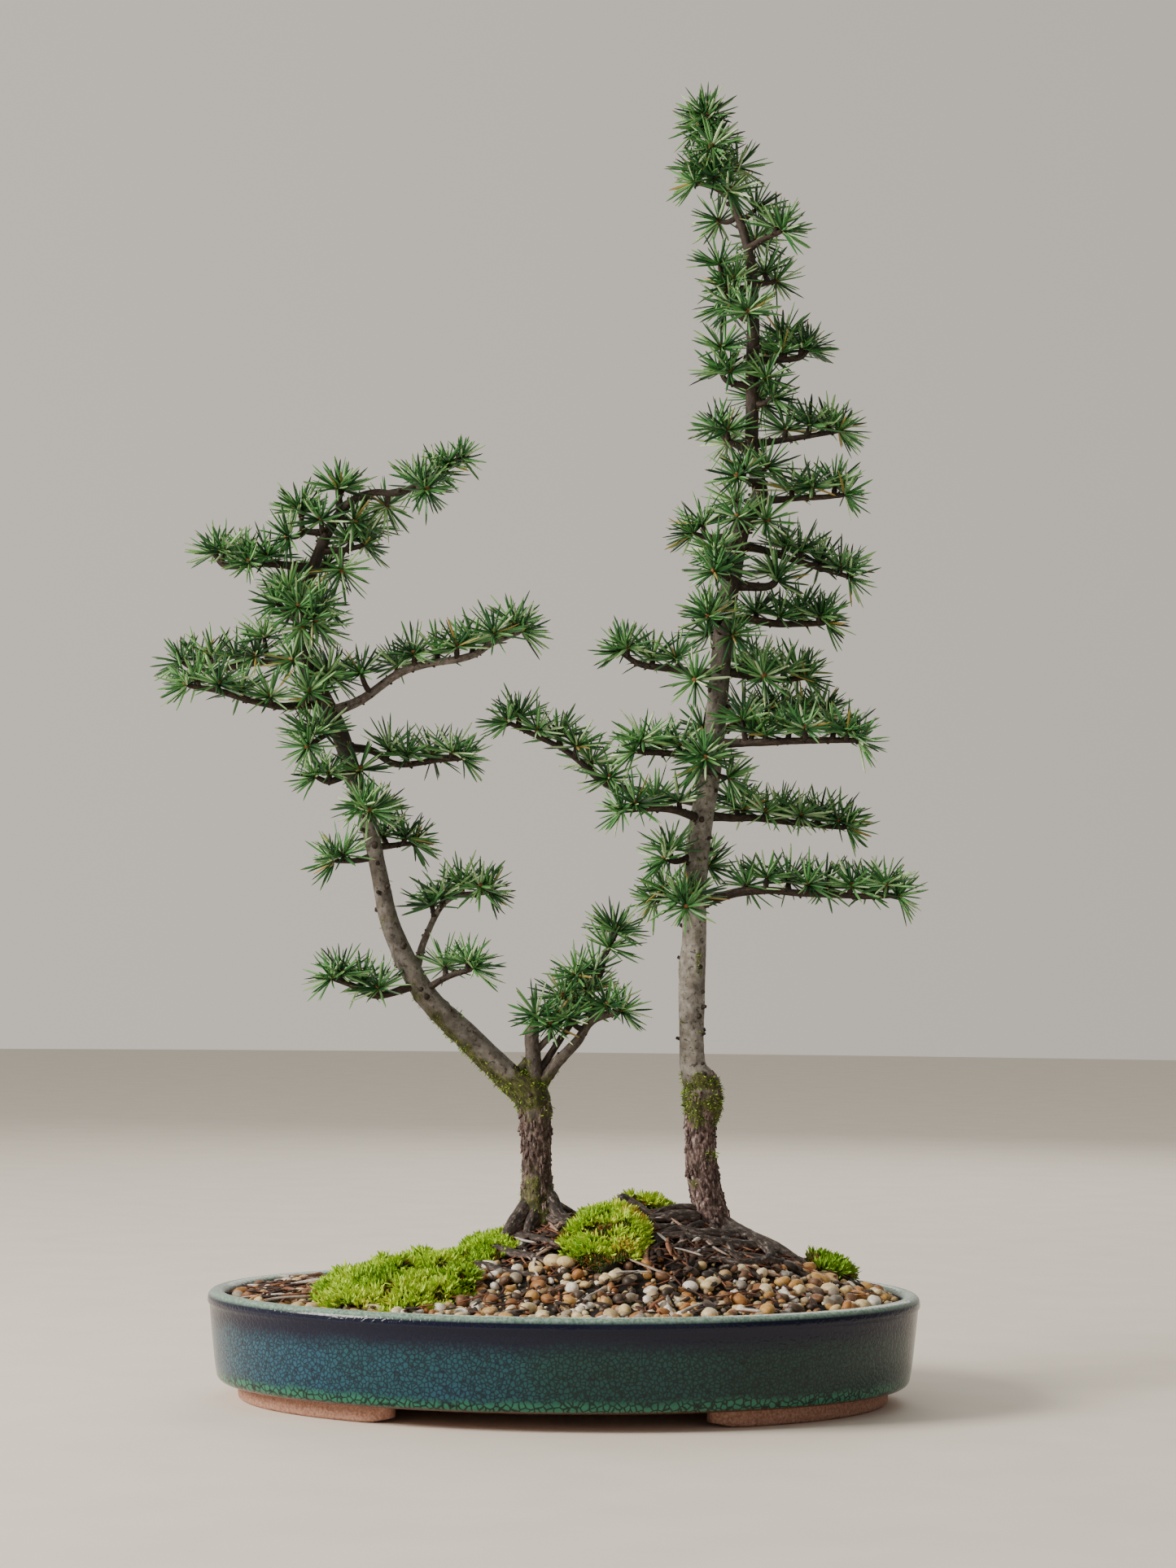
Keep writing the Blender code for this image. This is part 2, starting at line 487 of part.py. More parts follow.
class Tree:
    """A tree's routes in the pot, at its real height, as trunk, branches and needle sleeves."""

    def __init__(self, name, x, height, trunk, branches, leader):
        foot = Vector((POT_X + x, TREES_Y, float(ground(POT_X + x, TREES_Y))))
        self.name = name
        self.scale = height / (trunk[-1][2] * MM)
        self.foot = foot
        self.trunk = [self.place(point[:3]) for point in trunk]
        self.trunk_radii = [point[3] / 2 * MM for point in trunk]
        self.branches = []
        for label, route, first, last, bare, radius in branches:
            points = [self.place(point) for point in route]
            points[0] = nearest_on(self.trunk, points[0])
            radii = np.interp(range(len(points)), [0, len(points) - 1], [first / 2 * MM, last / 2 * MM])
            self.branches.append((label, points, list(radii), bare, radius))
        self.sleeves = []
        covered = [("leader", self.trunk, None, *leader), *self.branches]
        for label, points, _, bare, radius in covered:
            if radius is not None:
                sleeve = part_of_route(points, bare, 0.6 * radius * MM, 5)
                self.sleeves.append((label, sleeve, radius * MM))

    def place(self, point):
        """A point of a route, in millimetres from the trunk's foot, in the pot's frame."""
        return self.foot + Vector(point) * MM * self.scale

    def wood_tubes(self, swell):
        """The trunk and the branches as tubes, with their radii swollen and their ends moved out."""
        tubes = [(f"{self.name}_trunk", self.trunk, self.trunk_radii, 2)]
        tubes += [(f"{self.name}_{label}", points, radii, 1) for label, points, radii, _, _ in self.branches]
        return [(name, swell_ends(points, swell) if swell else points, [radius + swell for radius in radii],
                 resolution) for name, points, radii, resolution in tubes]

    def make_wood(self):
        """The wood of the whole tree as one body, and a swollen copy that cuts what lies round it."""
        trunk, *branches = tube_meshes(self.wood_tubes(0.0))
        wood = add_part(self.name, trunk, "bark", BARK)
        for mesh in branches:
            combine(wood, add_cutter(mesh.name, mesh), "UNION")
        trunk, *branches = tube_meshes(self.wood_tubes(BARK_GAP))
        self.clearance = add_cutter(f"{self.name}_clearance", trunk)
        for mesh in branches:
            combine(self.clearance, add_cutter(f"{mesh.name}_clearance", mesh), "UNION")


def sleeve_tube(name, points, radius, swell):
    """A sleeve's tube: narrow at both ends, and lifted because most needles grow upwards."""
    lift = Vector((0.0, 0.0, 0.15 * radius))
    shares = (0.55, 0.95, 1.0, 0.9, 0.5)
    lifted = [point + lift for point in points]
    return (name, swell_ends(lifted, swell), [share * radius + swell for share in shares], 1)


def boxes_meet(first, second):
    """Whether two routes' boxes, each widened by its radius, overlap."""
    for axis in range(3):
        low = max(min(p[axis] for p in points) - radius for _, points, radius in (first, second))
        high = min(max(p[axis] for p in points) + radius for _, points, radius in (first, second))
        if low > high:
            return False
    return True


def make_needles(trees):
    """One body of needles for each branch that has them, clear of the wood and of each other."""
    sleeves = [(f"{tree.name}_{label}_needles", points, radius)
               for tree in trees for label, points, radius in tree.sleeves]
    solids = tube_meshes([sleeve_tube(name, points, radius, 0.0) for name, points, radius in sleeves])
    swollen = tube_meshes([sleeve_tube(f"{name}_clearance", points, radius, BARK_GAP)
                           for name, points, radius in sleeves])
    clearances = [add_cutter(mesh.name, mesh) for mesh in swollen]
    for index, (sleeve, mesh) in enumerate(zip(sleeves, solids)):
        needles = add_part(sleeve[0], mesh, "needles", NEEDLE_GREEN)
        for tree in trees:
            combine(needles, tree.clearance, "DIFFERENCE")
        for earlier in range(index):
            if boxes_meet(sleeve, sleeves[earlier]):
                combine(needles, clearances[earlier], "DIFFERENCE")


left_tree = Tree("left_tree", LEFT_TREE_X, LEFT_TREE_HEIGHT, LEFT_TRUNK, LEFT_BRANCHES, LEFT_LEADER)
right_tree = Tree("right_tree", RIGHT_TREE_X, RIGHT_TREE_HEIGHT, RIGHT_TRUNK, RIGHT_BRANCHES, RIGHT_LEADER)
make_pot()
mesh_pockets = [make_drain_mesh(side, x) for side, x in drain_holes()]
for tree in (left_tree, right_tree):
    tree.make_wood()
wood = [left_tree.clearance, right_tree.clearance]
under_gravel = make_ground(mesh_pockets, wood)
for cushion in MOSS:
    make_moss(cushion, under_gravel, wood)
make_needles([left_tree, right_tree])
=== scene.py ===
"""Finish for two cedar bonsai in a glazed oval pot: glaze, gravel, moss, bark and needles.

Everything is made round the solid model of the same pot and trees, in its frame: X runs along the
pot, Y from front to back and Z up, with the origin under the middle on the surface it stands on.
Lengths are in metres, and routes of trunks and branches are in millimetres from the trunk's foot.
"""
import math

import bpy
import numpy as np
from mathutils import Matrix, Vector


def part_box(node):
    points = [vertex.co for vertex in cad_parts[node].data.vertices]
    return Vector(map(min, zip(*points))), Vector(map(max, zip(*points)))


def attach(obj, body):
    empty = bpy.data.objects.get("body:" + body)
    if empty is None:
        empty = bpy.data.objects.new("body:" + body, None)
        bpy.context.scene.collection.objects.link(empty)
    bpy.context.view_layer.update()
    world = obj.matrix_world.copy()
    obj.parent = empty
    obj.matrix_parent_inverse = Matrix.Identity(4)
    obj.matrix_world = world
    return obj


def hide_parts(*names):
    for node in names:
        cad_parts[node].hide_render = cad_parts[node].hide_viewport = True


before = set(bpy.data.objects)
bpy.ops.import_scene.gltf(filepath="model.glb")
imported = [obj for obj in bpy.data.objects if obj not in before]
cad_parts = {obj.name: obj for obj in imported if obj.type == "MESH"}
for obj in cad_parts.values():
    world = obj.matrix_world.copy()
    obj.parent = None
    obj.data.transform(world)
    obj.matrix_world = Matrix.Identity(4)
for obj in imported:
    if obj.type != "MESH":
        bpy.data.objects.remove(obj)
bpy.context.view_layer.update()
MM = 0.001


# ---- Pot -------------------------------------------------------------------------------------------
# An oval stoneware tray with a rounded rim, dipped in a blue-green crackle glaze that has run to
# thick green cells at the foot of the wall and broken to pale grey-green on the rim.
# It stands on two bare clay feet, and two drain holes go through its floor.

RIM_WIDTH = 0.009
LIP = 0.0475               # height of the lip's widest line
LIP_ROUND = 0.0006         # the rim's round starts this far over that line
WALL_FOOT = 0.0048         # how far in from the lip the wall starts at its foot
WALL_TOP = 0.0010          # and ends under the lip
WALL_RISE = 0.0325         # from the rounded bottom corner to the lip's underside
BOTTOM_RADIUS = 0.0045
UNDERSIDE = 0.0290         # how far in from the lip the section starts, on the underside
FLOOR_TOP = 0.0155
FOOT_HEIGHT = 0.0085
FOOT_INSET = 0.0155
FOOT_WIDTH = 0.012
FOOT_OVERLAP = 0.001       # how far a foot reaches into the pot's underside
FOOT_STEPS = 90            # rings along a foot, and the last few of them round its ends
FOOT_END_STEPS = 4
SQUARENESS = 0.35          # power that makes a foot's round section a rounded rectangle
POT_SIDES = 240
FOOT_GAP = (-0.0785, 0.0685)       # the feet stop at these places along the pot
HOLE_RADIUS = 0.010
HOLE_SPACING = 0.140
pot_low, pot_high = (np.array(corner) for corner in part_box("pot"))
POT_X, POT_Y = (pot_low[:2] + pot_high[:2]) / 2
HALF_LENGTH, HALF_WIDTH = (pot_high[:2] - pot_low[:2]) / 2
POT_HEIGHT = pot_high[2]


def linear(code):
    """An sRGB hex colour as linear red, green, blue and alpha."""
    srgb = np.array([int(code[place:place + 2], 16) / 255 for place in (1, 3, 5)])
    values = np.where(srgb <= 0.04045, srgb / 12.92, ((srgb + 0.055) / 1.055) ** 2.4)
    return (*values.tolist(), 1.0)


def add_node(tree, kind, inputs=None, stops=None, **settings):
    """Add a shader node with its settings; an input takes a value, a hex colour or another's output."""
    node = tree.nodes.new("ShaderNode" + kind)
    for name, value in settings.items():
        setattr(node, name, value)
    for name, value in (inputs or {}).items():
        if isinstance(value, bpy.types.NodeSocket):
            tree.links.new(value, node.inputs[name])
        else:
            node.inputs[name].default_value = linear(value) if isinstance(value, str) else value
    if stops:
        ramp = node.color_ramp.elements
        while len(ramp) < len(stops):
            ramp.new(1.0)
        for element, (place, code) in zip(ramp, stops):
            element.position = place
            element.color = linear(code)
    return node


def start_material(name, **sockets):
    """A new material, with its node tree and its Principled shader set to these values."""
    made = bpy.data.materials.new(name)
    made.use_nodes = True
    shader = made.node_tree.nodes["Principled BSDF"]
    for socket, value in sockets.items():
        shader.inputs[socket.replace("_", " ")].default_value = value
    return made, made.node_tree, shader


def add_piece(name, points, faces, materials, slot, replaced=(), indices=None, flat=False, **attributes):
    """A mesh piece from whole arrays of points and faces, with point attributes, riding on the pot."""
    mesh = bpy.data.meshes.new(name)
    corners = np.concatenate([part.ravel() for part in faces]).astype(np.int32)
    sizes = np.concatenate([np.full(len(part), part.shape[1]) for part in faces])
    mesh.vertices.add(len(points))
    mesh.vertices.foreach_set("co", np.asarray(points, np.float32).ravel())
    mesh.loops.add(len(corners))
    mesh.loops.foreach_set("vertex_index", corners)
    mesh.polygons.add(len(sizes))
    mesh.polygons.foreach_set("loop_start", (np.cumsum(sizes) - sizes).astype(np.int32))
    mesh.polygons.foreach_set("use_smooth", np.full(len(sizes), not flat))
    if indices is not None:
        mesh.polygons.foreach_set("material_index", np.asarray(indices, np.int32))
    mesh.update(calc_edges=True)
    for label, values in attributes.items():
        kind = "FLOAT_VECTOR" if values.ndim == 2 else "FLOAT"
        layer = mesh.attributes.new(label, kind, "POINT")
        field = "vector" if values.ndim == 2 else "value"
        layer.data.foreach_set(field, np.asarray(values, np.float32).ravel())
    for material in materials:
        mesh.materials.append(material)
    piece = bpy.data.objects.new(name, mesh)
    bpy.context.scene.collection.objects.link(piece)
    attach(piece, "root")
    if replaced:
        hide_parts(*replaced)
    return piece


def rings_mesh(rings):
    """Points and faces of a closed surface: quads join each ring to the next, and fans close the ends."""
    count, sides = rings.shape[:2]
    index = np.arange(count * sides).reshape(count, sides)
    after = np.roll(index, -1, axis=1)
    quads = np.stack([index[:-1], after[:-1], after[1:], index[1:]], axis=-1).reshape(-1, 4)
    middles = np.stack([rings[0].mean(axis=0), rings[-1].mean(axis=0)])
    first = np.column_stack([np.full(sides, count * sides), after[0], index[0]])
    last = np.column_stack([np.full(sides, count * sides + 1), index[-1], after[-1]])
    return np.vstack([rings.reshape(-1, 3), middles]), [quads, np.vstack([first, last])]


def pot_profile():
    """Offset in from the lip and height of the pot's section, from the underside out, up and in."""
    quarter = np.radians(np.linspace(0, 90, 9))
    bottom = np.column_stack([WALL_FOOT + BOTTOM_RADIUS * (1 - np.sin(quarter)),
                              FOOT_HEIGHT + BOTTOM_RADIUS * (1 - np.cos(quarter))])
    rise = np.linspace(0, 1, 12)[1:]
    wall = np.column_stack([WALL_FOOT - (WALL_FOOT - WALL_TOP) * rise ** 0.8,
                            FOOT_HEIGHT + BOTTOM_RADIUS + WALL_RISE * rise])
    lip = np.array([(0.0006, 0.0462), (0.0002, 0.0468), (0.0, LIP)])
    half = np.radians(np.linspace(0, 180, 15))
    rim = np.column_stack([RIM_WIDTH / 2 * (1 - np.cos(half)),
                           LIP + LIP_ROUND + (POT_HEIGHT - LIP - LIP_ROUND) * np.sin(half) ** 0.8])
    inside = np.array([(0.0098, 0.044), (0.0128, 0.021), (0.0145, 0.0170), (0.0190, FLOOR_TOP)])
    return np.vstack([[(UNDERSIDE, FOOT_HEIGHT)], bottom, wall, lip, rim, inside])


def oval_rings(profile, turn):
    """Oval rings for a profile: half axes less the offset, times the cosine and sine of the turn."""
    offset, height = profile[:, 0, None], profile[:, 1, None]
    x = POT_X + (HALF_LENGTH - offset) * np.cos(turn)
    y = POT_Y + (HALF_WIDTH - offset) * np.sin(turn)
    return np.stack([x, y, np.broadcast_to(height, x.shape)], axis=-1)


def foot_rings(start, end):
    """One foot: a rounded rectangle carried along the oval, shrunk by a circle's curve at both ends."""
    turn = np.linspace(start, end, FOOT_STEPS)
    from_end = np.minimum(np.arange(FOOT_STEPS), np.arange(FOOT_STEPS)[::-1]) / FOOT_END_STEPS
    shrink = np.sqrt(1 - (1 - np.clip(from_end, 0.12, 1)) ** 2)
    round_ = np.linspace(0, 2 * np.pi, 20, endpoint=False)
    across = np.sign(np.cos(round_)) * np.abs(np.cos(round_)) ** SQUARENESS * FOOT_WIDTH / 2
    up = 0.5 + 0.5 * np.sign(np.sin(round_)) * np.abs(np.sin(round_)) ** SQUARENESS
    offset = FOOT_INSET + FOOT_WIDTH / 2 - across[None] * shrink[:, None]
    x = POT_X + (HALF_LENGTH - offset) * np.cos(turn)[:, None]
    y = POT_Y + (HALF_WIDTH - offset) * np.sin(turn)[:, None]
    top = FOOT_HEIGHT + FOOT_OVERLAP
    z = top - top * (1 - up[None]) * (0.55 + 0.45 * shrink[:, None])
    return np.stack([x, y, z], axis=-1)


# Glazed stoneware: a glassy coat over a mottled body, so broad soft lights show as clean highlights.
# The cells are about 2 mm across on the wall and 3 mm in the thick roll at its foot. Along the pot the
# glaze runs bluer at its left end and darker green at its right: partly its own tone, partly a painted
# reflection of the window at the left and painted shade at the right.
glaze, tree, shader = start_material("crackle_glazed_stoneware", Roughness=0.20, Coat_Weight=0.20,
                                     Coat_Roughness=0.05, IOR=1.32)
place = add_node(tree, "TexCoord").outputs["Object"]
warp = add_node(tree, "TexNoise", {"Vector": place, "Scale": 1 / 0.004, "Detail": 2.0}).outputs["Color"]
shift = add_node(tree, "VectorMath", {0: warp, 3: 0.0016}, operation="SCALE").outputs[0]
warped = add_node(tree, "VectorMath", {0: place, 1: shift}, operation="ADD").outputs[0]
height = add_node(tree, "SeparateXYZ", {"Vector": place}).outputs["Z"]
ragged = add_node(tree, "TexNoise", {"Vector": place, "Scale": 1 / 0.020, "Detail": 3.0}).outputs["Fac"]
ragged = add_node(tree, "MapRange", {"Value": ragged, "To Min": -0.0035, "To Max": 0.0035}).outputs[0]
level = add_node(tree, "Math", {0: height, 1: ragged}, operation="ADD").outputs[0]
fine = add_node(tree, "TexVoronoi", {"Vector": warped, "Scale": 1 / 0.0021},
                feature="DISTANCE_TO_EDGE").outputs[0]
thick = add_node(tree, "TexVoronoi", {"Vector": warped, "Scale": 1 / 0.0032},
                 feature="DISTANCE_TO_EDGE").outputs[0]
fine = add_node(tree, "MapRange", {"Value": fine, "From Min": 0.03, "From Max": 0.22}).outputs[0]
thick = add_node(tree, "MapRange", {"Value": thick, "From Min": 0.04, "From Max": 0.16}).outputs[0]
near_foot = add_node(tree, "MapRange", {"Value": level, "From Min": 0.0160, "From Max": 0.0125}).outputs[0]
clouds = add_node(tree, "TexNoise", {"Vector": place, "Scale": 1 / 0.090, "Detail": 2.0}).outputs["Fac"]
# Painted light along X: bluer and lighter at the left end as a painted reflection, darker at the right end
# as painted shade, over the glaze's own random clouds of tone.
along = add_node(tree, "SeparateXYZ", {"Vector": place}).outputs["X"]
along = add_node(tree, "MapRange", {"Value": along, "From Min": -0.16, "From Max": 0.19, "To Min": -0.25,
                                    "To Max": 0.25}).outputs[0]
hue_with_painted_light = add_node(tree, "Math", {0: clouds, 1: along}, operation="ADD").outputs[0]
cell_colour = add_node(tree, "ValToRGB", {"Fac": hue_with_painted_light},
                       [(0.25, "#205064"), (0.50, "#184a4a"), (0.80, "#123c38")]).outputs[0]
line_colour = add_node(tree, "ValToRGB", {"Fac": hue_with_painted_light},
                       [(0.25, "#0a2232"), (0.50, "#082426"), (0.80, "#061c1c")]).outputs[0]
wall = add_node(tree, "Mix", {0: fine, 6: line_colour, 7: cell_colour}, data_type="RGBA").outputs[2]
roll = add_node(tree, "Mix", {0: thick, 6: "#07211b", 7: "#2c6f57"}, data_type="RGBA").outputs[2]
body = add_node(tree, "Mix", {0: near_foot, 6: wall, 7: roll}, data_type="RGBA").outputs[2]
band = add_node(tree, "MapRange", {"Value": level, "From Min": 0.034, "From Max": 0.042}).outputs[0]
body = add_node(tree, "Mix", {0: band, 6: body, 7: "#080e28"}, data_type="RGBA").outputs[2]
rim = add_node(tree, "MapRange", {"Value": height, "From Min": 0.0500, "From Max": 0.0518}).outputs[0]
speckle = add_node(tree, "TexNoise", {"Vector": place, "Scale": 1 / 0.0015, "Detail": 2.0}).outputs["Fac"]
rim_colour = add_node(tree, "ValToRGB", {"Fac": speckle}, [(0.3, "#5a7a6c"), (0.7, "#93b0a2")]).outputs[0]
body = add_node(tree, "Mix", {0: rim, 6: body, 7: rim_colour}, data_type="RGBA").outputs[2]
edge = add_node(tree, "MapRange", {"Value": height, "From Min": 0.0102, "From Max": 0.0092}).outputs[0]
body = add_node(tree, "Mix", {0: edge, 6: body, 7: "#4a2a1e"}, data_type="RGBA").outputs[2]
tree.links.new(body, shader.inputs["Base Color"])
bump = add_node(tree, "Bump", {"Height": thick, "Strength": 0.25, "Distance": 0.0004}).outputs[0]
tree.links.new(bump, shader.inputs["Normal"])

# Bare fired clay: matt red-brown with sandy grains of about a millimetre.
clay, tree, shader = start_material("bare_fired_clay", Roughness=0.85)
place = add_node(tree, "TexCoord").outputs["Object"]
grains = add_node(tree, "TexNoise", {"Vector": place, "Scale": 1 / 0.0012, "Detail": 4.0}).outputs["Fac"]
colour = add_node(tree, "ValToRGB", {"Fac": grains}, [(0.30, "#8a5f4e"), (0.72, "#c09a86")]).outputs[0]
tree.links.new(colour, shader.inputs["Base Color"])
bump = add_node(tree, "Bump", {"Height": grains, "Strength": 0.4, "Distance": 0.0004}).outputs[0]
tree.links.new(bump, shader.inputs["Normal"])

turn = np.linspace(0, 2 * np.pi, POT_SIDES, endpoint=False)
profile = pot_profile()
points, faces = rings_mesh(oval_rings(profile, turn))
# The first two bands of quads and the first fan are the unglazed underside.
underside = np.concatenate([np.arange(len(faces[0])) < 2 * POT_SIDES,
                            np.arange(len(faces[1])) < POT_SIDES]).astype(int)
body = add_piece("glazed_pot", points, faces, [glaze, clay], "glazed_pot", ["pot"], underside)
for side in (-1, 1):
    bpy.ops.mesh.primitive_cylinder_add(vertices=48, radius=HOLE_RADIUS, depth=0.04,
                                        location=(POT_X + side * HOLE_SPACING / 2, POT_Y, FLOOR_TOP))
    drill = bpy.context.object
    cut = body.modifiers.new("drain_hole", "BOOLEAN")
    cut.operation = "DIFFERENCE"
    cut.object = drill
    bpy.context.view_layer.objects.active = body
    bpy.ops.object.modifier_apply(modifier=cut.name)
    bpy.data.objects.remove(drill, do_unlink=True)
stops = [math.acos(place / (HALF_LENGTH - FOOT_INSET - FOOT_WIDTH / 2)) for place in FOOT_GAP]
for label, start, end in (("left", stops[0], 2 * math.pi - stops[0]), ("right", -stops[1], stops[1])):
    points, faces = rings_mesh(foot_rings(start, end))
    faces = [part[:, ::-1] for part in faces]
    add_piece(f"clay_foot_{label}", points, faces, [clay], "glazed_pot")


# ---- Drain meshes and soil -------------------------------------------------------------------------
# Black plastic mesh lies over each drain hole, and dark potting soil fills the pot above it.
# Both keep their solid shape, as only the holes and the gaps between stones show them.

plastic, tree, shader = start_material("moulded_black_plastic", Roughness=0.45)
place = add_node(tree, "TexCoord").outputs["Object"]
dust = add_node(tree, "TexNoise", {"Vector": place, "Scale": 1 / 0.002, "Detail": 3.0}).outputs["Fac"]
colour = add_node(tree, "ValToRGB", {"Fac": dust}, [(0.4, "#121212"), (0.8, "#3a342c")]).outputs[0]
tree.links.new(colour, shader.inputs["Base Color"])

# Damp peat and bark fines: near black, crumbs of one to three millimetres, no gloss. Its near-black
# colour is partly the soil's own and partly painted shade for the gaps between the stones.
soil, tree, shader = start_material("damp_soil_with_painted_gap_shade", Roughness=0.95)
place = add_node(tree, "TexCoord").outputs["Object"]
crumbs = add_node(tree, "TexNoise", {"Vector": place, "Scale": 1 / 0.0022, "Detail": 6.0}).outputs["Fac"]
colour = add_node(tree, "ValToRGB", {"Fac": crumbs},
                  [(0.30, "#080605"), (0.55, "#15100c"), (0.75, "#33261c")]).outputs[0]
tree.links.new(colour, shader.inputs["Base Color"])
bump = add_node(tree, "Bump", {"Height": crumbs, "Strength": 0.8, "Distance": 0.0012}).outputs[0]
tree.links.new(bump, shader.inputs["Normal"])

for name, finish in (("drain_mesh_left", plastic), ("drain_mesh_right", plastic), ("soil", soil)):
    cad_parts[name].data.materials.clear()
    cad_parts[name].data.materials.append(finish)


# ---- Gravel ----------------------------------------------------------------------------------------
# Rounded pea gravel of 2 to 9 mm, cream to orange-brown and grey, over dark bark fines. The bed is one
# sheet that carries the fines, and three sizes of stones lie half sunk in it, with pale pebbles on top.

SOIL_LINE = POT_HEIGHT - 0.0035
MOUND_HEIGHT = 0.040
MOUND_LENGTH, MOUND_WIDTH = 0.0985, 0.065
MOUND_X, MOUND_Y = 0.030, 0.005
BED_OFFSET = 0.0100        # how far in from the pot's lip the bed ends
BED_DEPTH = 0.0014         # the bed lies this far under the tops of the small stones
BED_SKIRT = 0.005          # its edge goes down this far
STONE_KINDS = 16           # different shapes of stone in each size
RANDOM_ROLL = 6.28         # radians: a full turn, near enough for a random roll
HASH_PRIMES = (73856093, 19349663, 83492791)
LOW_BITS = 0x7FFFFFFF


def ground(x, y):
    """Height of the gravel: a bell-shaped mound over the level soil line, faded out at the wall."""
    across = ((x - POT_X) / (HALF_LENGTH - RIM_WIDTH)) ** 2 + (y / (HALF_WIDTH - RIM_WIDTH)) ** 2
    edge = 1 - np.clip(across, 0, 1) ** 4
    along = ((x - POT_X - MOUND_X) / MOUND_LENGTH) ** 2
    return SOIL_LINE + MOUND_HEIGHT * edge * np.exp(-along - ((y - MOUND_Y) / MOUND_WIDTH) ** 2)


def noise(points, cell, seed):
    """Smooth noise from -1 to 1: hashed values on a lattice of this cell, blended by a smooth step."""
    scaled = points / cell
    corner = np.floor(scaled).astype(np.int64)
    part = scaled - corner
    part = part * part * (3 - 2 * part)
    total = 0.0
    for step in np.ndindex(2, 2, 2):
        key = corner + np.array(step)
        mixed = np.bitwise_xor.reduce(key * HASH_PRIMES, axis=-1) ^ (seed * 2654435)
        mixed = ((mixed & LOW_BITS) * 1103515245 + 12345) & LOW_BITS
        mixed = ((mixed ^ (mixed >> 13)) * 1597334677) & LOW_BITS
        weight = np.prod(np.where(step, part, 1 - part), axis=-1)
        total = total + weight * (mixed / (LOW_BITS // 2) - 1)
    return total


def unit(vectors):
    """Each row of vectors divided by its own length."""
    return vectors / np.linalg.norm(vectors, axis=1, keepdims=True)


def frames_to(directions, rolls):
    """A turn for each direction: Z goes to the direction, and X and Y are rolled round it."""
    z = unit(directions)
    helper = np.where(np.abs(z[:, 2:]) < 0.9, [[0.0, 0.0, 1.0]], [[1.0, 0.0, 0.0]])
    x = unit(np.cross(helper, z))
    y = np.cross(z, x)
    cosine, sine = np.cos(rolls)[:, None], np.sin(rolls)[:, None]
    return np.stack([cosine * x + sine * y, cosine * y - sine * x, z], axis=2)


def copies(shapes, faces, places, turns, sizes):
    """Points and faces of many copies: each shape times its size, turned and moved to its place."""
    moved = np.einsum("nij,nkj->nki", turns, shapes * sizes[:, None, :]) + places[:, None, :]
    steps = np.arange(len(places))[:, None, None] * shapes.shape[-2]
    return moved.reshape(-1, 3), [(part[None] + steps).reshape(-1, part.shape[1]) for part in faces]


def ball(rings, sides):
    """A unit ball as rings of points: sine and cosine of the way down from its top to its bottom."""
    down = np.pi * (np.arange(rings) + 1) / (rings + 1)
    turn = np.linspace(0, 2 * np.pi, sides, endpoint=False)
    shape = np.stack([np.sin(down)[:, None] * np.cos(turn), np.sin(down)[:, None] * np.sin(turn),
                      np.repeat(np.cos(down)[:, None], sides, axis=1)], axis=-1)
    points, faces = rings_mesh(shape)
    points[-2], points[-1] = (0, 0, 1), (0, 0, -1)
    return points, [part[:, ::-1] for part in faces]


def scattered(spacing, seed, margin):
    """Points over the pot's oval: a lattice with this spacing, each moved at random within its cell."""
    draw = np.random.default_rng(seed)
    columns = np.arange(-HALF_LENGTH, HALF_LENGTH, spacing)
    rows = np.arange(-HALF_WIDTH, HALF_WIDTH, spacing)
    x, y = (grid.ravel() for grid in np.meshgrid(columns, rows))
    x, y = x + draw.uniform(0, spacing, x.shape), y + draw.uniform(0, spacing, y.shape)
    inside = (x / (HALF_LENGTH - margin)) ** 2 + (y / (HALF_WIDTH - margin)) ** 2 < 1
    return POT_X + x[inside], y[inside]


# Water-worn quartz and flint: a soft sheen on rounded faces, each stone of one colour with faint veins.
pebble, tree, shader = start_material("rounded_pea_gravel", Roughness=0.55)
place = add_node(tree, "TexCoord").outputs["Object"]
shade = add_node(tree, "Attribute", attribute_name="shade").outputs["Fac"]
stone = add_node(tree, "ValToRGB", {"Fac": shade}, [
    (0.00, "#332b26"), (0.08, "#63503f"), (0.20, "#8f5f35"), (0.32, "#ba8042"), (0.44, "#d0a45c"),
    (0.54, "#8f8a82"), (0.66, "#dcbc80"), (0.80, "#e6d2a2"), (0.90, "#efe7d4"),
    (1.00, "#f8f5ee")]).outputs[0]
veins = add_node(tree, "TexNoise", {"Vector": place, "Scale": 1 / 0.0018, "Detail": 4.0}).outputs["Fac"]
veins = add_node(tree, "MapRange", {"Value": veins, "From Min": 0.3, "From Max": 0.7,
                                    "To Min": 0.62, "To Max": 1.12}).outputs[0]
colour = add_node(tree, "VectorMath", {0: stone, 3: veins}, operation="SCALE").outputs[0]
tree.links.new(colour, shader.inputs["Base Color"])
bump = add_node(tree, "Bump", {"Height": veins, "Strength": 0.3, "Distance": 0.0003}).outputs[0]
tree.links.new(bump, shader.inputs["Normal"])

share = np.linspace(1.0, 0.012, 84)[:, None]
turn = np.linspace(0, 2 * np.pi, 260, endpoint=False)
x = POT_X + share * (HALF_LENGTH - BED_OFFSET) * np.cos(turn)
y = share * (HALF_WIDTH - BED_OFFSET) * np.sin(turn)
flat = np.stack([x, y, x * 0], axis=-1)
lumps = noise(flat, 0.006, 1) * 0.0009 + noise(flat, 0.002, 2) * 0.0005
bed = np.stack([x, y, ground(x, y) - BED_DEPTH + lumps], axis=-1)
skirt = bed[:1] * [1, 1, 0] + [0, 0, SOIL_LINE - BED_SKIRT]
points, faces = rings_mesh(np.vstack([skirt, bed]))
add_piece("gravel_bed", points, faces, [soil], "gravel", ["gravel"])

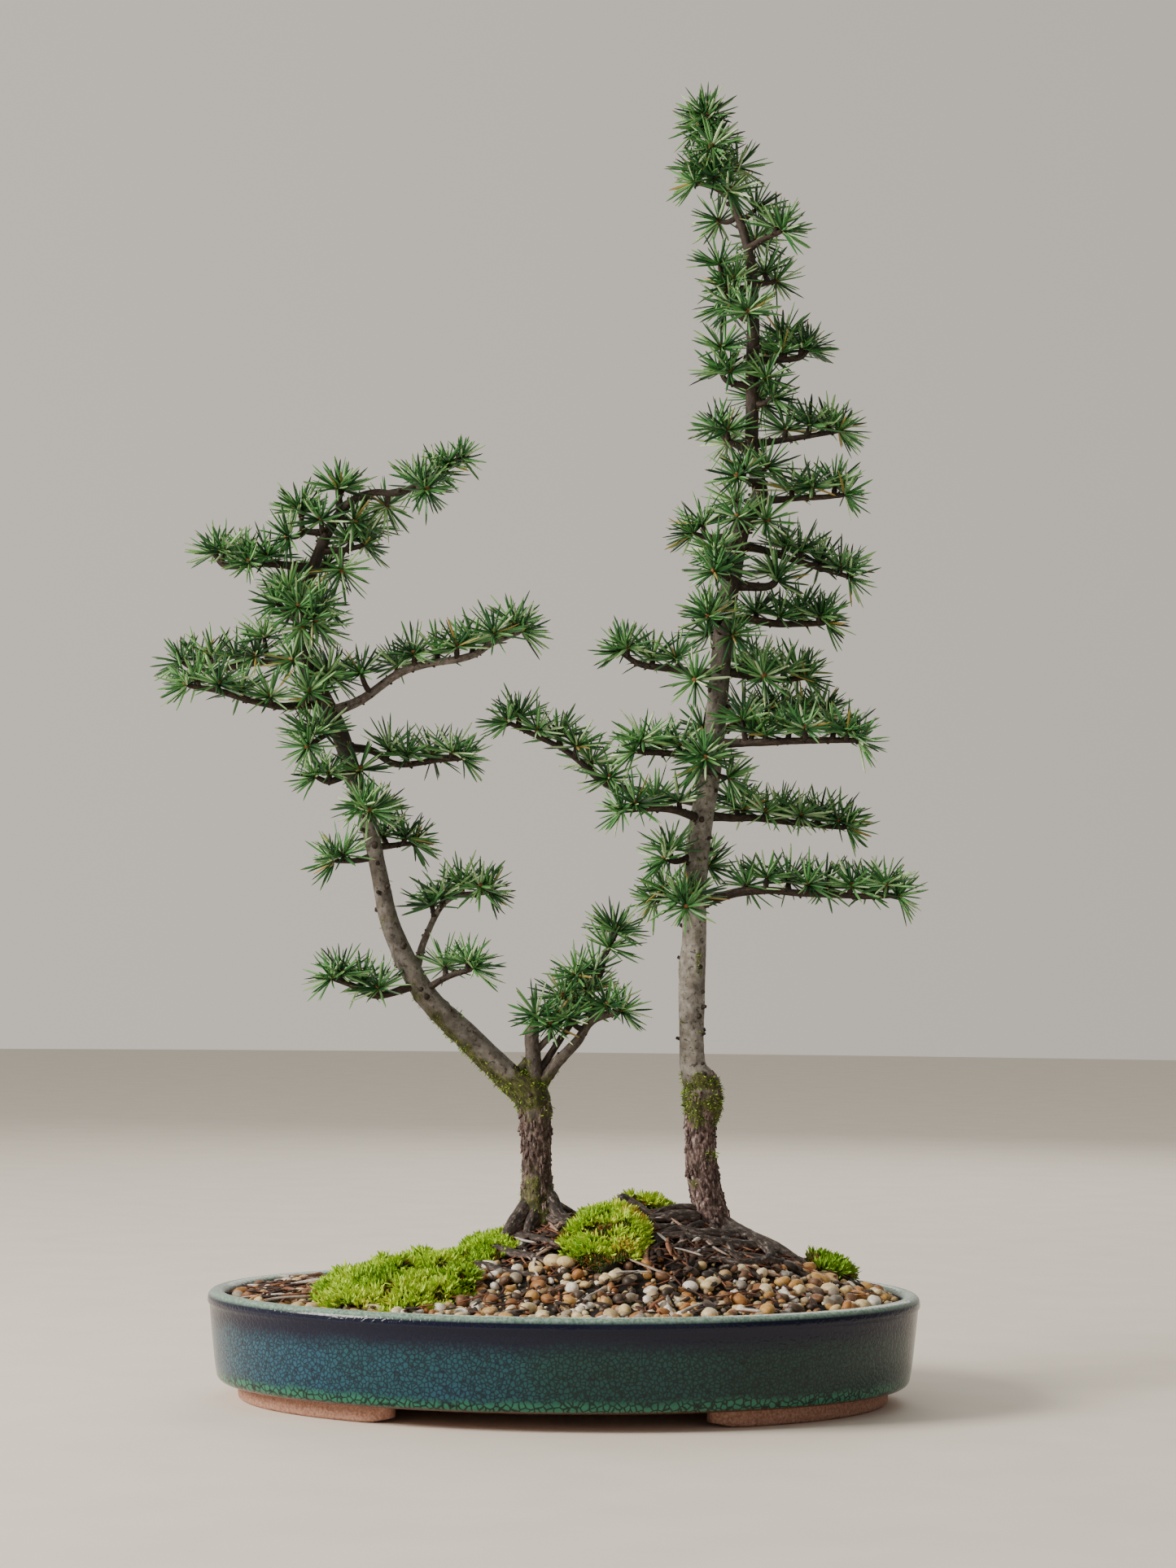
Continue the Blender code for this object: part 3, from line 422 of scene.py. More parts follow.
# Each moss cushion: its middle in X and Y from the pot's, its half length, half width and thickness.
MOSS = {
    "moss_front_left": (-0.080, -0.048, 0.039, 0.042, 0.016),
    "moss_beside_left_trunk": (-0.038, 0.004, 0.014, 0.018, 0.008),
    "moss_between_trees": (0.019, -0.027, 0.022, 0.028, 0.0120),
    "moss_behind_root": (0.040, 0.024, 0.016, 0.014, 0.012),
    "moss_right": (0.131, 0.006, 0.013, 0.015, 0.009),
    "moss_link": (-0.047, -0.020, 0.026, 0.017, 0.007),
}


def under_moss(x, y):
    """How deep a place is inside the nearest moss cushion: over 0 inside it, 1 in its middle."""
    depths = [1 - ((x - POT_X - mx) / length) ** 2 - ((y - my) / width) ** 2
              for mx, my, length, width, _ in MOSS.values()]
    return np.max(depths, axis=0)


def on_mound(x, y):
    """Share of dark roots and litter: 1 on the mound under the trees, 0 out on the level."""
    return np.clip((ground(x, y) - SOIL_LINE - 0.017) / 0.010, 0, 1)


# Three sizes: lattice spacing, smallest and largest radius, share left out on the level, mesh and seed.
for name, spacing, low, high, bare, rings, sides, seed in (
        ("gravel_large", 0.0078, 0.0027, 0.0044, 0.10, 7, 11, 11),
        ("gravel_middling", 0.0056, 0.0016, 0.0027, 0.32, 5, 8, 13),
        ("gravel_fine", 0.0034, 0.0008, 0.0014, 0.55, 3, 6, 12)):
    draw = np.random.default_rng(seed)
    x, y = scattered(spacing, seed, BED_OFFSET + high * 0.85)
    keep = (under_moss(x, y) < 0.12) & (draw.random(len(x)) > bare + (0.9 - bare) * on_mound(x, y))
    x, y = x[keep], y[keep]
    radius = low + (high - low) * draw.random(len(x)) ** 1.7
    shape, faces = ball(rings, sides)
    apart = 7.0 * np.arange(STONE_KINDS)[:, None, None]
    kinds = shape[None] * (1 + 0.24 * noise(shape[None] + apart, 0.9, 5))[..., None]
    sizes = radius[:, None] * draw.uniform([0.90, 0.72, 0.60], [1.25, 1.0, 0.88], (len(x), 3))
    tilt = np.column_stack([draw.normal(0, 0.35, (len(x), 2)), np.ones(len(x))])
    lift = radius * draw.uniform(0.05, 0.45, len(x))
    places = np.column_stack([x, y, ground(x, y) - 0.0010 + lift])
    points, faces = copies(kinds[draw.integers(0, STONE_KINDS, len(x))], faces, places,
                           frames_to(tilt, draw.uniform(0, 2 * np.pi, len(x))), sizes)
    shade = np.repeat(draw.random(len(x)) ** 1.15 * (1 - 0.45 * on_mound(x, y)), len(shape))
    add_piece(name, points, faces, [pebble], "gravel", shade=shade)


# Pale pebbles on top of the gravel, most of them in front: x, y and radius in millimetres.
draw = np.random.default_rng(15)
pale = np.array([(-5, -44, 4.6), (1, -46, 4.8), (-12, -50, 3.2), (20, -62, 3.4), (96, -58, 3.6),
                 (128, -38, 4.4), (60, -66, 3.8), (-60, -72, 3.0), (112, -50, 3.0)]) * MM
shape, faces = ball(9, 14)
x, y, radius = POT_X + pale[:, 0], pale[:, 1], pale[:, 2]
places = np.column_stack([x, y, ground(x, y) + 0.0012])
turns = frames_to(np.repeat([[0.1, -0.1, 1.0]], len(pale), axis=0), draw.uniform(0, RANDOM_ROLL, len(pale)))
sizes = radius[:, None] * draw.uniform([0.9, 0.8, 0.6], [1.1, 1.0, 0.8], (len(pale), 3))
points, faces = copies(np.repeat(shape[None], len(pale), axis=0), faces, places, turns, sizes)
add_piece("pale_pebbles", points, faces, [pebble], "gravel",
          shade=np.repeat(draw.uniform(0.68, 0.98, len(pale)), len(shape)))


# ---- Litter ----------------------------------------------------------------------------------------
# Fallen brown needles, bark chips and bleached twigs lie over the gravel, most of them on the mound.
# Each is one thin closed body that follows the slope under it.

# Dry conifer litter: matt, from red-brown through dark brown to a weathered silver grey.
litter, tree, shader = start_material("dry_needles_and_bark", Roughness=0.8)
place = add_node(tree, "TexCoord").outputs["Object"]
shade = add_node(tree, "Attribute", attribute_name="shade").outputs["Fac"]
colour = add_node(tree, "ValToRGB", {"Fac": shade}, [
    (0.00, "#191311"), (0.30, "#33241c"), (0.50, "#5b3524"), (0.68, "#8a4f33"), (0.80, "#9a6f52"),
    (0.92, "#b9b1a8"), (1.00, "#d8d4cc")]).outputs[0]
fibres = add_node(tree, "TexNoise", {"Vector": place, "Scale": 1 / 0.0012, "Detail": 4.0}).outputs["Fac"]
fibres = add_node(tree, "MapRange", {"Value": fibres, "From Min": 0.3, "From Max": 0.7,
                                     "To Min": 0.6, "To Max": 1.15}).outputs[0]
colour = add_node(tree, "VectorMath", {0: colour, 3: fibres}, operation="SCALE").outputs[0]
tree.links.new(colour, shader.inputs["Base Color"])


def slope_turns(x, y, rolls, draw):
    """Turns that lay a piece's Z along the ground in a random direction, and its Y up."""
    step = 0.003
    along = np.column_stack([np.cos(rolls), np.sin(rolls), np.zeros(len(x))])
    ahead = ground(x + step * along[:, 0], y + step * along[:, 1])
    behind = ground(x - step * along[:, 0], y - step * along[:, 1])
    along[:, 2] = (ahead - behind) / (2 * step) + draw.normal(0, 0.12, len(x))
    along = unit(along)
    side = unit(np.cross(along, [[0.0, 0.0, 1.0]]))
    return np.stack([side, np.cross(along, side), along], axis=2)


def stick(rings, sides):
    """A unit stick along Z from -0.5 to 0.5, one across, with its ends drawn in."""
    way = np.linspace(-0.5, 0.5, rings)
    thick = 0.5 * np.sqrt(np.clip(1 - (2 * way) ** 6, 0.12, 1))
    turn = np.linspace(0, 2 * np.pi, sides, endpoint=False)
    return rings_mesh(np.stack([thick[:, None] * np.cos(turn), thick[:, None] * np.sin(turn),
                                np.repeat(way[:, None], sides, axis=1)], axis=-1))


# Three kinds: how many, rings and sides, smallest and largest size, darkest and palest shade, seed.
for name, count, rings, sides, low, high, dark, pale, seed in (
        ("bark_chips", 760, 5, 6, (0.0016, 0.0006, 0.004), (0.0045, 0.0014, 0.010), 0.0, 0.45, 21),
        ("fallen_needles", 820, 5, 4, (0.0007, 0.0005, 0.009), (0.0011, 0.0008, 0.017), 0.35, 0.78, 22),
        ("bleached_twigs", 150, 9, 6, (0.0010, 0.0010, 0.012), (0.0022, 0.0018, 0.034), 0.75, 1.0, 23)):
    draw = np.random.default_rng(seed)
    x, y = scattered(0.0022, seed, BED_OFFSET + 0.010)
    left_end = x < POT_X - 0.130
    weight = np.where(under_moss(x, y) > 0.1, 0.03, 0.10 + on_mound(x, y) + 0.6 * left_end)
    chosen = draw.choice(len(x), count, replace=False, p=weight / weight.sum())
    x, y = x[chosen], y[chosen]
    shape, faces = stick(rings, sides)
    sizes = draw.uniform(low, high, (count, 3))
    bend = draw.normal(0, 0.10, (count, 1)) * shape[:, 2] ** 2 * 4
    bend = bend + noise(shape[None] + np.arange(count)[:, None, None], 0.4, 3) * 0.05
    shapes = np.repeat(shape[None], count, axis=0)
    shapes[..., 0] += bend * sizes[:, 2:] / sizes[:, :1]
    places = np.column_stack([x, y, ground(x, y) + 0.0010 + draw.uniform(0, 0.0022, count)])
    turns = slope_turns(x, y, draw.uniform(0, 2 * np.pi, count), draw)
    points, faces = copies(shapes, faces, places, turns, sizes)
    add_piece(name, points, faces, [litter], "gravel",
              shade=np.repeat(draw.uniform(dark, pale, count), len(shape)))


# ---- Moss ------------------------------------------------------------------------------------------
# Living moss in soft cushions on the mound: lime-green shoots a few millimetres long over an older
# brown-green mat. Each cushion is a lumpy mat with some thousand leaf-shaped shoots growing out of it.

# Feather moss: thin leaves that let some light through, bright at the tip and brown-green at the foot.
moss_leaf, tree, shader = start_material("living_feather_moss", Roughness=0.75, Subsurface_Weight=0.25,
                                         Subsurface_Scale=0.001)
tint = add_node(tree, "Attribute", attribute_name="tint").outputs["Fac"]
tip = add_node(tree, "Attribute", attribute_name="tip").outputs["Fac"]
tip = add_node(tree, "MapRange", {"Value": tip, "From Max": 0.55}).outputs[0]
foot = add_node(tree, "ValToRGB", {"Fac": tint}, [
    (0.0, "#1c1a0c"), (0.25, "#38480f"), (0.6, "#66761c"), (1.0, "#74561e")]).outputs[0]
top = add_node(tree, "ValToRGB", {"Fac": tint}, [
    (0.0, "#45621a"), (0.20, "#7fae1e"), (0.48, "#b6dc2c"), (0.76, "#def05c"), (0.88, "#cfa24a"),
    (1.0, "#9c5a28")]).outputs[0]
colour = add_node(tree, "Mix", {0: tip, 6: foot, 7: top}, data_type="RGBA").outputs[2]
tree.links.new(colour, shader.inputs["Base Color"])


LEAF_TILT = 0.55           # how unevenly the shoots stand
MAT_REACH = 0.94           # the mat ends a little inside the cushion's outline


def leaf(rings):
    """A unit leaf along Z: its half width swells and narrows as a sine, and its edges curl up in Y."""
    way = np.linspace(0, 1, rings)
    wide = 0.5 * np.sin(np.pi * (0.12 + 0.85 * way)) ** 0.8
    left = np.column_stack([-wide, 0.5 * wide, way])
    middle = np.column_stack([0 * wide, 0 * wide, way])
    right = np.column_stack([wide, 0.5 * wide, way])
    index = np.arange(rings * 3).reshape(rings, 3)
    quads = [np.column_stack([index[:-1, column], index[:-1, column + 1],
                              index[1:, column + 1], index[1:, column]]) for column in (0, 1)]
    return np.stack([left, middle, right], axis=1).reshape(-1, 3), [np.vstack(quads)]


def grow_leaves(name, places, outward, lengths, tints, seed):
    """Moss leaves at these places, tilted at random from the way the ground faces, and bent outwards."""
    draw = np.random.default_rng(seed)
    shape, faces = leaf(4)
    count = len(places)
    tilted = outward + draw.normal(0, LEAF_TILT, (count, 3))
    shapes = np.repeat(shape[None], count, axis=0)
    shapes[..., 1] += draw.uniform(0.2, 1.2, (count, 1)) * shape[:, 2] ** 2
    sizes = np.column_stack([lengths * 0.28, lengths * 0.30, lengths])
    turns = frames_to(tilted, draw.uniform(0, 2 * np.pi, count))
    points, faces = copies(shapes, faces, places, turns, sizes)
    add_piece(name, points, faces, [moss_leaf], "moss",
              tint=np.repeat(tints, len(shape)), tip=np.tile(shape[:, 2], count))


def cushion_height(x, y, cushion):
    """Height of a moss cushion: the ground plus a half ellipse's curve, with lumps of 4 to 9 mm."""
    mx, my, length, width, thickness = cushion
    across = ((x - POT_X - mx) / length) ** 2 + ((y - my) / width) ** 2
    flat = np.stack([x, y, x * 0], axis=-1)
    across = across * (1 + 0.35 * noise(flat, 0.014, 10))
    lumpy = 1 + 0.38 * noise(flat, 0.009, 8) + 0.20 * noise(flat, 0.004, 9)
    return ground(x, y) + thickness * 0.74 * lumpy * np.clip(1 - across, 0, 1) ** 0.6


# Shoots, their length, how much longer they are at the back, how bare, lowest and highest tint.
MOSS_LOOKS = {
    "moss_front_left": (10500, 0.0040, 0.0, -0.38, 0.10, 0.88),
    "moss_beside_left_trunk": (2200, 0.0036, 0.3, -0.40, 0.05, 0.62),
    "moss_between_trees": (7500, 0.0038, 0.5, 0.02, -0.05, 1.12),
    "moss_behind_root": (2300, 0.0046, 0.6, -0.20, 0.10, 0.85),
    "moss_right": (1500, 0.0042, 0.3, -0.30, 0.00, 0.34),
    "moss_link": (4200, 0.0034, 0.0, -0.25, 0.00, 0.72),
}
for seed, (name, cushion) in enumerate(MOSS.items()):
    mx, my, length, width, thickness = cushion
    share = np.linspace(1.0, 0.03, 22)[:, None]
    turn = np.linspace(0, 2 * np.pi, 90, endpoint=False)
    circle = np.stack([np.cos(turn), np.sin(turn), 0 * turn], axis=-1)
    ragged = 0.95 + 0.16 * noise(circle * 2.5 + seed * 9, 1.0, 4)
    x = POT_X + mx + MAT_REACH * share * ragged * length * np.cos(turn)
    y = my + MAT_REACH * share * ragged * width * np.sin(turn)
    mat = np.stack([x, y, cushion_height(x, y, cushion) - 0.001], axis=-1)
    points, faces = rings_mesh(np.vstack([mat[:1] - [0, 0, 0.004], mat]))
    add_piece(f"{name}_mat", points, faces, [moss_leaf], "moss", [name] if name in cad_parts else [],
              tint=np.full(len(points), -1.0), tip=np.zeros(len(points)))
    draw = np.random.default_rng(40 + seed)
    count, size, fringe, bare, low, high = MOSS_LOOKS[name]
    reach = 1.08 - 0.7 * size / min(length, width)
    out, turn = np.sqrt(draw.random(count)) * reach, draw.uniform(0, 2 * np.pi, count)
    x, y = POT_X + mx + out * length * np.cos(turn), my + out * width * np.sin(turn)
    inside = ((x - POT_X) / (HALF_LENGTH - 0.011)) ** 2 + (y / (HALF_WIDTH - 0.011)) ** 2 < 1
    x, y = x[inside], y[inside]
    step = 0.002
    slope_x = (cushion_height(x + step, y, cushion) - cushion_height(x - step, y, cushion)) / (2 * step)
    slope_y = (cushion_height(x, y + step, cushion) - cushion_height(x, y - step, cushion)) / (2 * step)
    outward = unit(np.column_stack([-np.clip(slope_x, -2, 2), -np.clip(slope_y, -2, 2), np.ones(len(x))]))
    places = np.column_stack([x, y, cushion_height(x, y, cushion) - 0.0012])
    grown = noise(places, 0.0085, 11) + 0.5 * noise(places, 0.0040, 12) > bare
    patch = 0.5 + 0.5 * noise(places, 0.011, 6)
    tints = low + (high - low) * np.clip(0.75 * patch + 0.3 * draw.random(len(places)), 0, 1)
    at_back = np.clip((places[:, 1] - my) / width, 0, 1)
    lengths = size * draw.uniform(0.6, 1.45, len(places)) * (1 + fringe * at_back)
    old_growth = np.where(draw.random(len(places)) < 0.35, 0.98, 0.02)
    tints = np.where(grown, tints, old_growth)
    lengths = np.where(grown, lengths, 0.55 * size)
    grow_leaves(f"{name}_shoots", places, outward, lengths, tints, 60 + seed)


# ---- Wood of both trees ----------------------------------------------------------------------------
# Two grafted cedars. The old rootstock at the foot has dark flaking bark, the grown wood above it is
# smooth and silver grey, and the twigs are rough with the scales of earlier years.
# Each trunk, branch and root is a tube along its route, pushed in and out by the bark's own relief.

LEFT_TREE_X, RIGHT_TREE_X, TREES_Y = -0.013, 0.074, 0.005
LEFT_TREE_HEIGHT, RIGHT_TREE_HEIGHT = 0.386, 0.564
LEFT_FLAKY_TOP, RIGHT_FLAKY_TOP = 0.062, 0.074     # flaking bark ends at this height
BROWN_FROM = 0.38          # share of a trunk's height where its bark turns brown and scaly
RELIEF = 0.12              # share of the radius that the bark's relief may take, and its limit
RELIEF_LIMIT = 0.0009
TRUNK_STEP = 0.0011        # rings of bark are this far apart on trunk, branch and spur
BRANCH_STEP = 0.0010
SPUR_STEP = 0.0013
SPUR_DIAMETERS = (3.4, 2.8, 2.4)
SPUR_LENGTH = 0.012        # a short spur on the trunk is not longer than this
FLAKE_COUNT = 260
SCALE_SPACING = 0.0035     # of the scaly knobs along a twig
TUFT_SPACING = 0.0108      # of the short shoots along a twig
NEEDLE_LENGTH = 0.0170
END_NEEDLE_LENGTH = 0.0152
SPUR_NEEDLE_LENGTH = 0.0165
# Tufts of a leader: how many rings they stand under its tip, their lean and their needles' length.
LEADER_TUFTS = [(7, (0, 0, 0), 0.0125), (13, (-0.6, -0.5, 0.7), 0.0140), (20, (0.7, 0.3, 0.7), 0.0150),
                (28, (-0.3, 0.7, 0.8), 0.0155)]
# The stages of bark on a branch: how flaky, how scaly and how silver grey on top, which is partly
# weathered wood and partly painted highlight.
BARK_STAGES = {"root": (0.55, 0.0, 0.5), "old": (0.35, 0.6, 0.0), "silver": (0.45, 0.2, 0.0),
               "twig": (0.45, 1.0, 0.0)}
OLD_WOOD = ("old_leader", "old_leader_spur", "right_limb")
SILVER_WOOD = ("long_right", "low_upright")

# A trunk's points are x, y, z and diameter, all in millimetres as the branches' points are.
LEFT_TRUNK = [
    (1, 0, -14, 22), (1, 0, 0, 21), (0, 0, 10, 17), (-1, 0, 26, 13.5), (-2, 0, 50, 14.5),
    (-4, 0, 64, 16.5), (-15, -1, 74, 13.5), (-36, -3, 94, 12.5), (-54, -5, 111, 11.3),
    (-65, -6, 128, 10.5), (-75, -7, 150, 9.5), (-81, -7, 176, 8.1), (-87, -5, 202, 8.1),
    (-93, -3, 219, 8), (-102, 0, 245, 9), (-113, 2, 266, 9.7), (-120, 3, 284, 8), (-123, 3, 299, 6.8),
    (-118, 2, 322, 6.2), (-110, 0, 343, 5.5), (-103, 0, 355, 4.8), (-95, -2, 362, 4),
    (-85, -3, 365, 3.5), (-73, -3, 365, 3.2), (-57, 0, 374, 3), (-39, 2, 386, 2.6),
]
RIGHT_TRUNK = [
    (1, 0, -14, 22), (0, 0, 0, 18), (-3, 0, 13, 15.4), (-7, 0, 34, 14.5), (-7, 0, 51, 14.2),
    (-6, 0, 62, 17.6), (-7, 0, 72, 16.5), (-11, 0, 80, 13.3), (-12, 0, 94, 12.2), (-12, 1, 128, 13.4),
    (-11, 2, 145, 12), (-11, 2, 169, 11.8), (-9, 1, 195, 11.8), (-4, 0, 228, 11.2), (-1, -2, 256, 10.4),
    (2, -3, 295, 10), (4, -3, 312, 9.6), (7, -2, 329, 9.2), (10, 0, 348, 9.8), (15, 1, 356, 9),
    (20, 2, 365, 8.4), (19, 3, 375, 7.6), (16, 3, 387, 7), (16, 2, 409, 6.6), (16, 0, 435, 6.8),
    (16, -1, 459, 6), (15, -1, 480, 5.2), (11, 0, 499, 4.6), (2, 1, 525, 3.8), (-6, 1, 550, 3),
    (-10, 0, 564, 2.4),
]

# A branch is its name, its route, its first and last diameter, and the share of it that is bare.
LEFT_BRANCHES = [
    ("root_left", [(0, 0, 4), (-14, -6, -4), (-27, -10, -13)], 9, 4, 1),
    ("root_front", [(2, 0, 4), (9, -12, -4), (16, -25, -14)], 8, 4, 1),
    ("root_back", [(0, 0, 2), (-5, 13, -6), (-9, 27, -15)], 9, 4, 1),
    ("old_leader", [(-4, 0, 60), (-3, 0, 83), (-4, 0, 94), (-3, 0, 101)], 8.5, 6.5, 1),
    ("old_leader_spur", [(-3, 0, 86), (5, 0, 95)], 4, 3, 1),
    ("right_limb", [(-4, 0, 64), (7, 0, 80), (18, -1, 92), (26, -3, 103), (40, -9, 108)], 6.5, 3.4, 0.62),
    ("right_limb_twig", [(24, -3, 101), (26, 5, 119), (31, 7, 134), (38, 4, 147)], 3.6, 2.2, 0.42),
    ("low_left", [(-61, -5, 120), (-80, -13, 114), (-93, -15, 119), (-103, -17, 122)], 3.8, 2.4, 0.3),
    ("low_forward", [(-56, -5, 118), (-47, -12, 123), (-33, -16, 128)], 3.4, 2.4, 0.3),
    ("low_upright", [(-62, -5, 124), (-58, 3, 142), (-47, 7, 162), (-27, 10, 166)], 3.8, 2.4, 0.4),
    ("second_left", [(-83, -5, 183), (-92, -8, 181), (-103, -10, 180)], 3.2, 2.2, 0.25),
    ("second_right", [(-81, 0, 187), (-73, 7, 189), (-65, 12, 190)], 3.2, 2.2, 0.25),
    ("front_spur", [(-86, -5, 201), (-84, -25, 205)], 3, 2.2, 0.2),
    ("third_left", [(-93, 0, 226), (-106, -3, 220), (-113, -5, 222)], 3.4, 2.4, 0.3),
    ("third_right", [(-101, 0, 237), (-86, 3, 236), (-73, 3, 229), (-51, 4, 232), (-40, 4, 233)],
     4, 2.4, 0.25),
    ("middle_front", [(-105, 0, 247), (-115, -26, 236)], 3.4, 2.4, 0.35),
    ("long_right", [(-108, 0, 254), (-90, 0, 262), (-69, -2, 276), (-38, -4, 283), (-26, -2, 290),
                    (-12, 0, 296)], 5, 2.6, 0.3),
    ("long_left_front", [(-111, 0, 258), (-134, -16, 257), (-159, -25, 263), (-175, -28, 265)],
     4.2, 2.4, 0.35),
    ("long_left_back", [(-120, 3, 284), (-147, 12, 280), (-172, 14, 276), (-183, 14, 280)], 4.2, 2.4, 0.3),
    ("crown_front", [(-123, 3, 297), (-122, -18, 305)], 3.4, 2.4, 0.35),
    ("crown_back", [(-121, 3, 310), (-128, 24, 318)], 3.4, 2.4, 0.4),
    ("crown_left", [(-117, 0, 327), (-140, 0, 329), (-159, 2, 328), (-166, 2, 334)], 3.8, 3, 0.3),
    ("crown_right", [(-111, 0, 335), (-102, 0, 336), (-91, 2, 339)], 3.4, 2.4, 0.35),
    ("crown_upper_left", [(-109, 0, 345), (-121, 0, 346), (-122, 0, 356)], 3.2, 2.4, 0.4),
    ("crown_top", [(-103, 0, 355), (-104, -4, 367)], 3.4, 2.4, 0.3),
]
RIGHT_BRANCHES = [
    ("cut_root", [(0, 0, -4), (-20, -6, -4), (-33, -8, 6), (-48, -8, 16)], 11, 7, 1),
    ("root_right", [(0, 0, 4), (16, -5, -3), (34, -9, -10), (50, -12, -20)], 11, 4, 1),
    ("root_front", [(0, 0, 2), (-4, -16, -5), (-12, -32, -14)], 10, 4, 1),
    ("root_right_back", [(0, 0, 2), (12, 12, -4), (30, 20, -14)], 9, 4, 1),
    ("low_right", [(-10, 0, 160), (9, -5, 167), (25, -7, 168), (60, -8, 166), (89, -8, 166)], 5, 2.6, 0.2),
    ("low_front", [(-11, 0, 162), (-16, -30, 159)], 3.6, 2.4, 0.4),
    ("low_left", [(-12, 0, 168), (-22, 2, 166), (-31, 4, 163)], 3.4, 2.4, 0.35),
    ("low_back", [(-11, 0, 176), (-4, 26, 180)], 3.4, 2.4, 0.5),
    ("second_left", [(-10, 0, 186), (-20, -5, 182), (-26, -8, 183)], 3.2, 2.4, 0.9),
    ("second_right", [(-5, 0, 205), (9, 6, 205), (37, 14, 203), (66, 16, 201)], 4.4, 2.6, 0.2),
    ("third_left", [(-9, 0, 203), (-23, -16, 207), (-37, -22, 207), (-48, -25, 206)], 4.2, 2.4, 0.25),
    ("long_left", [(-9, 0, 212), (-46, 12, 219), (-60, 14, 225), (-76, 14, 238), (-105, 12, 252)],
     4.6, 2.4, 0.4),
    ("middle_front", [(-6, 0, 226), (-7, -30, 232)], 3.8, 2.4, 0.4),
    ("middle_left", [(-4, 0, 236), (-22, -8, 236), (-42, -12, 236)], 4, 2.4, 0.3),
    ("middle_right", [(-2, 0, 241), (17, -15, 241), (49, -22, 242), (68, -24, 242)], 4.6, 2.6, 0.2),
    ("middle_back", [(-1, 0, 247), (21, 24, 255), (57, 33, 258)], 4.4, 2.4, 0.3),
    ("upper_left", [(0, 0, 276), (-26, 2, 279), (-39, 4, 281), (-49, 4, 287)], 4.2, 2.4, 0.3),
    ("upper_right", [(1, 0, 277), (27, 3, 274), (44, 4, 275)], 4, 2.4, 0.3),
    ("upper_front", [(2, 0, 296), (-6, -26, 302)], 3.6, 2.4, 0.35),
    ("fourth_right", [(4, 0, 304), (23, 4, 303), (36, 6, 302), (54, 6, 303)], 4.4, 2.8, 0.25),
    ("short_stub", [(7, 0, 321), (23, -2, 320), (29, -2, 323)], 4.4, 3.6, 0.9),
    ("fourth_front", [(7, 0, 324), (-3, -22, 325)], 3.4, 2.4, 0.35),
    ("fourth_back", [(8, 0, 330), (2, 24, 336)], 3.4, 2.4, 0.5),
    ("fifth_right", [(10, 0, 341), (25, 3, 338), (48, 6, 331), (65, 6, 326)], 4.2, 2.4, 0.3),
    ("fifth_left", [(10, 0, 346), (-4, 4, 345), (-13, 4, 347)], 3.6, 2.4, 0.35),
    ("sixth_right", [(20, 0, 365), (33, -2, 364), (62, -4, 366)], 4, 2.4, 0.2),
    ("sixth_left", [(19, 0, 371), (8, -16, 373)], 3.4, 2.4, 0.35),
    ("seventh_right", [(16, 0, 392), (33, 3, 395), (60, 5, 400)], 3.6, 2.4, 0.25),
    ("seventh_left", [(16, 0, 388), (4, 2, 394), (-2, 2, 400)], 3.4, 2.4, 0.3),
    ("upper_trunk_back", [(16, 0, 412), (22, 22, 416)], 3.2, 2.2, 0.4),
    ("eighth_left", [(16, 0, 421), (4, -3, 423), (0, -4, 428)], 3.2, 2.2, 0.4),
    ("eighth_right", [(16, 0, 434), (38, 2, 436), (44, 2, 440)], 3.6, 2.4, 0.25),
    ("ninth_front", [(15, 0, 452), (12, -22, 454)], 3.2, 2.2, 0.35),
    ("tenth_right", [(15, 0, 472), (28, 12, 477)], 3, 2.2, 0.35),
    ("tenth_left", [(15, 0, 470), (3, 2, 472)], 3, 2.2, 0.5),
    ("top_right", [(12, 0, 490), (20, -6, 494), (30, -9, 498)], 3.2, 2.2, 0.3),
    ("top_left", [(5, 0, 517), (-4, -3, 521), (-14, -5, 523)], 3, 2.2, 0.3),
]

# Where the short spurs on the trunks end.
LEFT_SPURS = [
    (-134, -11, 308), (-129, -10, 319), (-120, -17, 296), (-107, -14, 308), (-101, -8, 322),
    (-114, -21, 299), (-98, -15, 287), (-103, -13, 277), (-116, -15, 264), (-141, 6, 294),
    (-148, -3, 329), (-128, -4, 342), (-112, -8, 350), (-96, -4, 350), (-80, 2, 359), (-90, 12, 352),
    (-110, 14, 330), (-108, 14, 300), (-128, 12, 305), (-60, -8, 366), (-66, 10, 370),
    (-90, -15, 226), (-80, 12, 210), (-118, 14, 262), (-128, -12, 280), (-104, 12, 275),
    (-2, -7, 105), (5, -12, 101), (14, -9, 104), (7, -5, 119), (14, -2, 128),
]
RIGHT_SPURS = [
    (8, -13, 354), (0, -11, 441), (17, 0, 511), (-6, -5, 529), (9, 10, 535), (-6, -11, 540),
    (-8, -5, 557), (31, 6, 453), (28, -6, 415), (9, -21, 264), (22, -11, 274),
    (4, 17, 395), (6, -21, 294), (-9, -19, 229), (9, -19, 221), (24, -9, 352), (-3, -5, 487),
    (2, 16, 460), (24, 14, 440), (28, -14, 382), (-2, 14, 372),
    (-12, 16, 300), (12, 18, 286), (-14, 16, 250), (6, 18, 222), (-4, 10, 506), (24, -12, 424),
    (2, -8, 462), (-4, -14, 345), (-12, -12, 272), (18, 12, 498), (-12, 0, 530), (-4, -10, 524),
    (3, -9, 518), (-11, 0, 553),
]

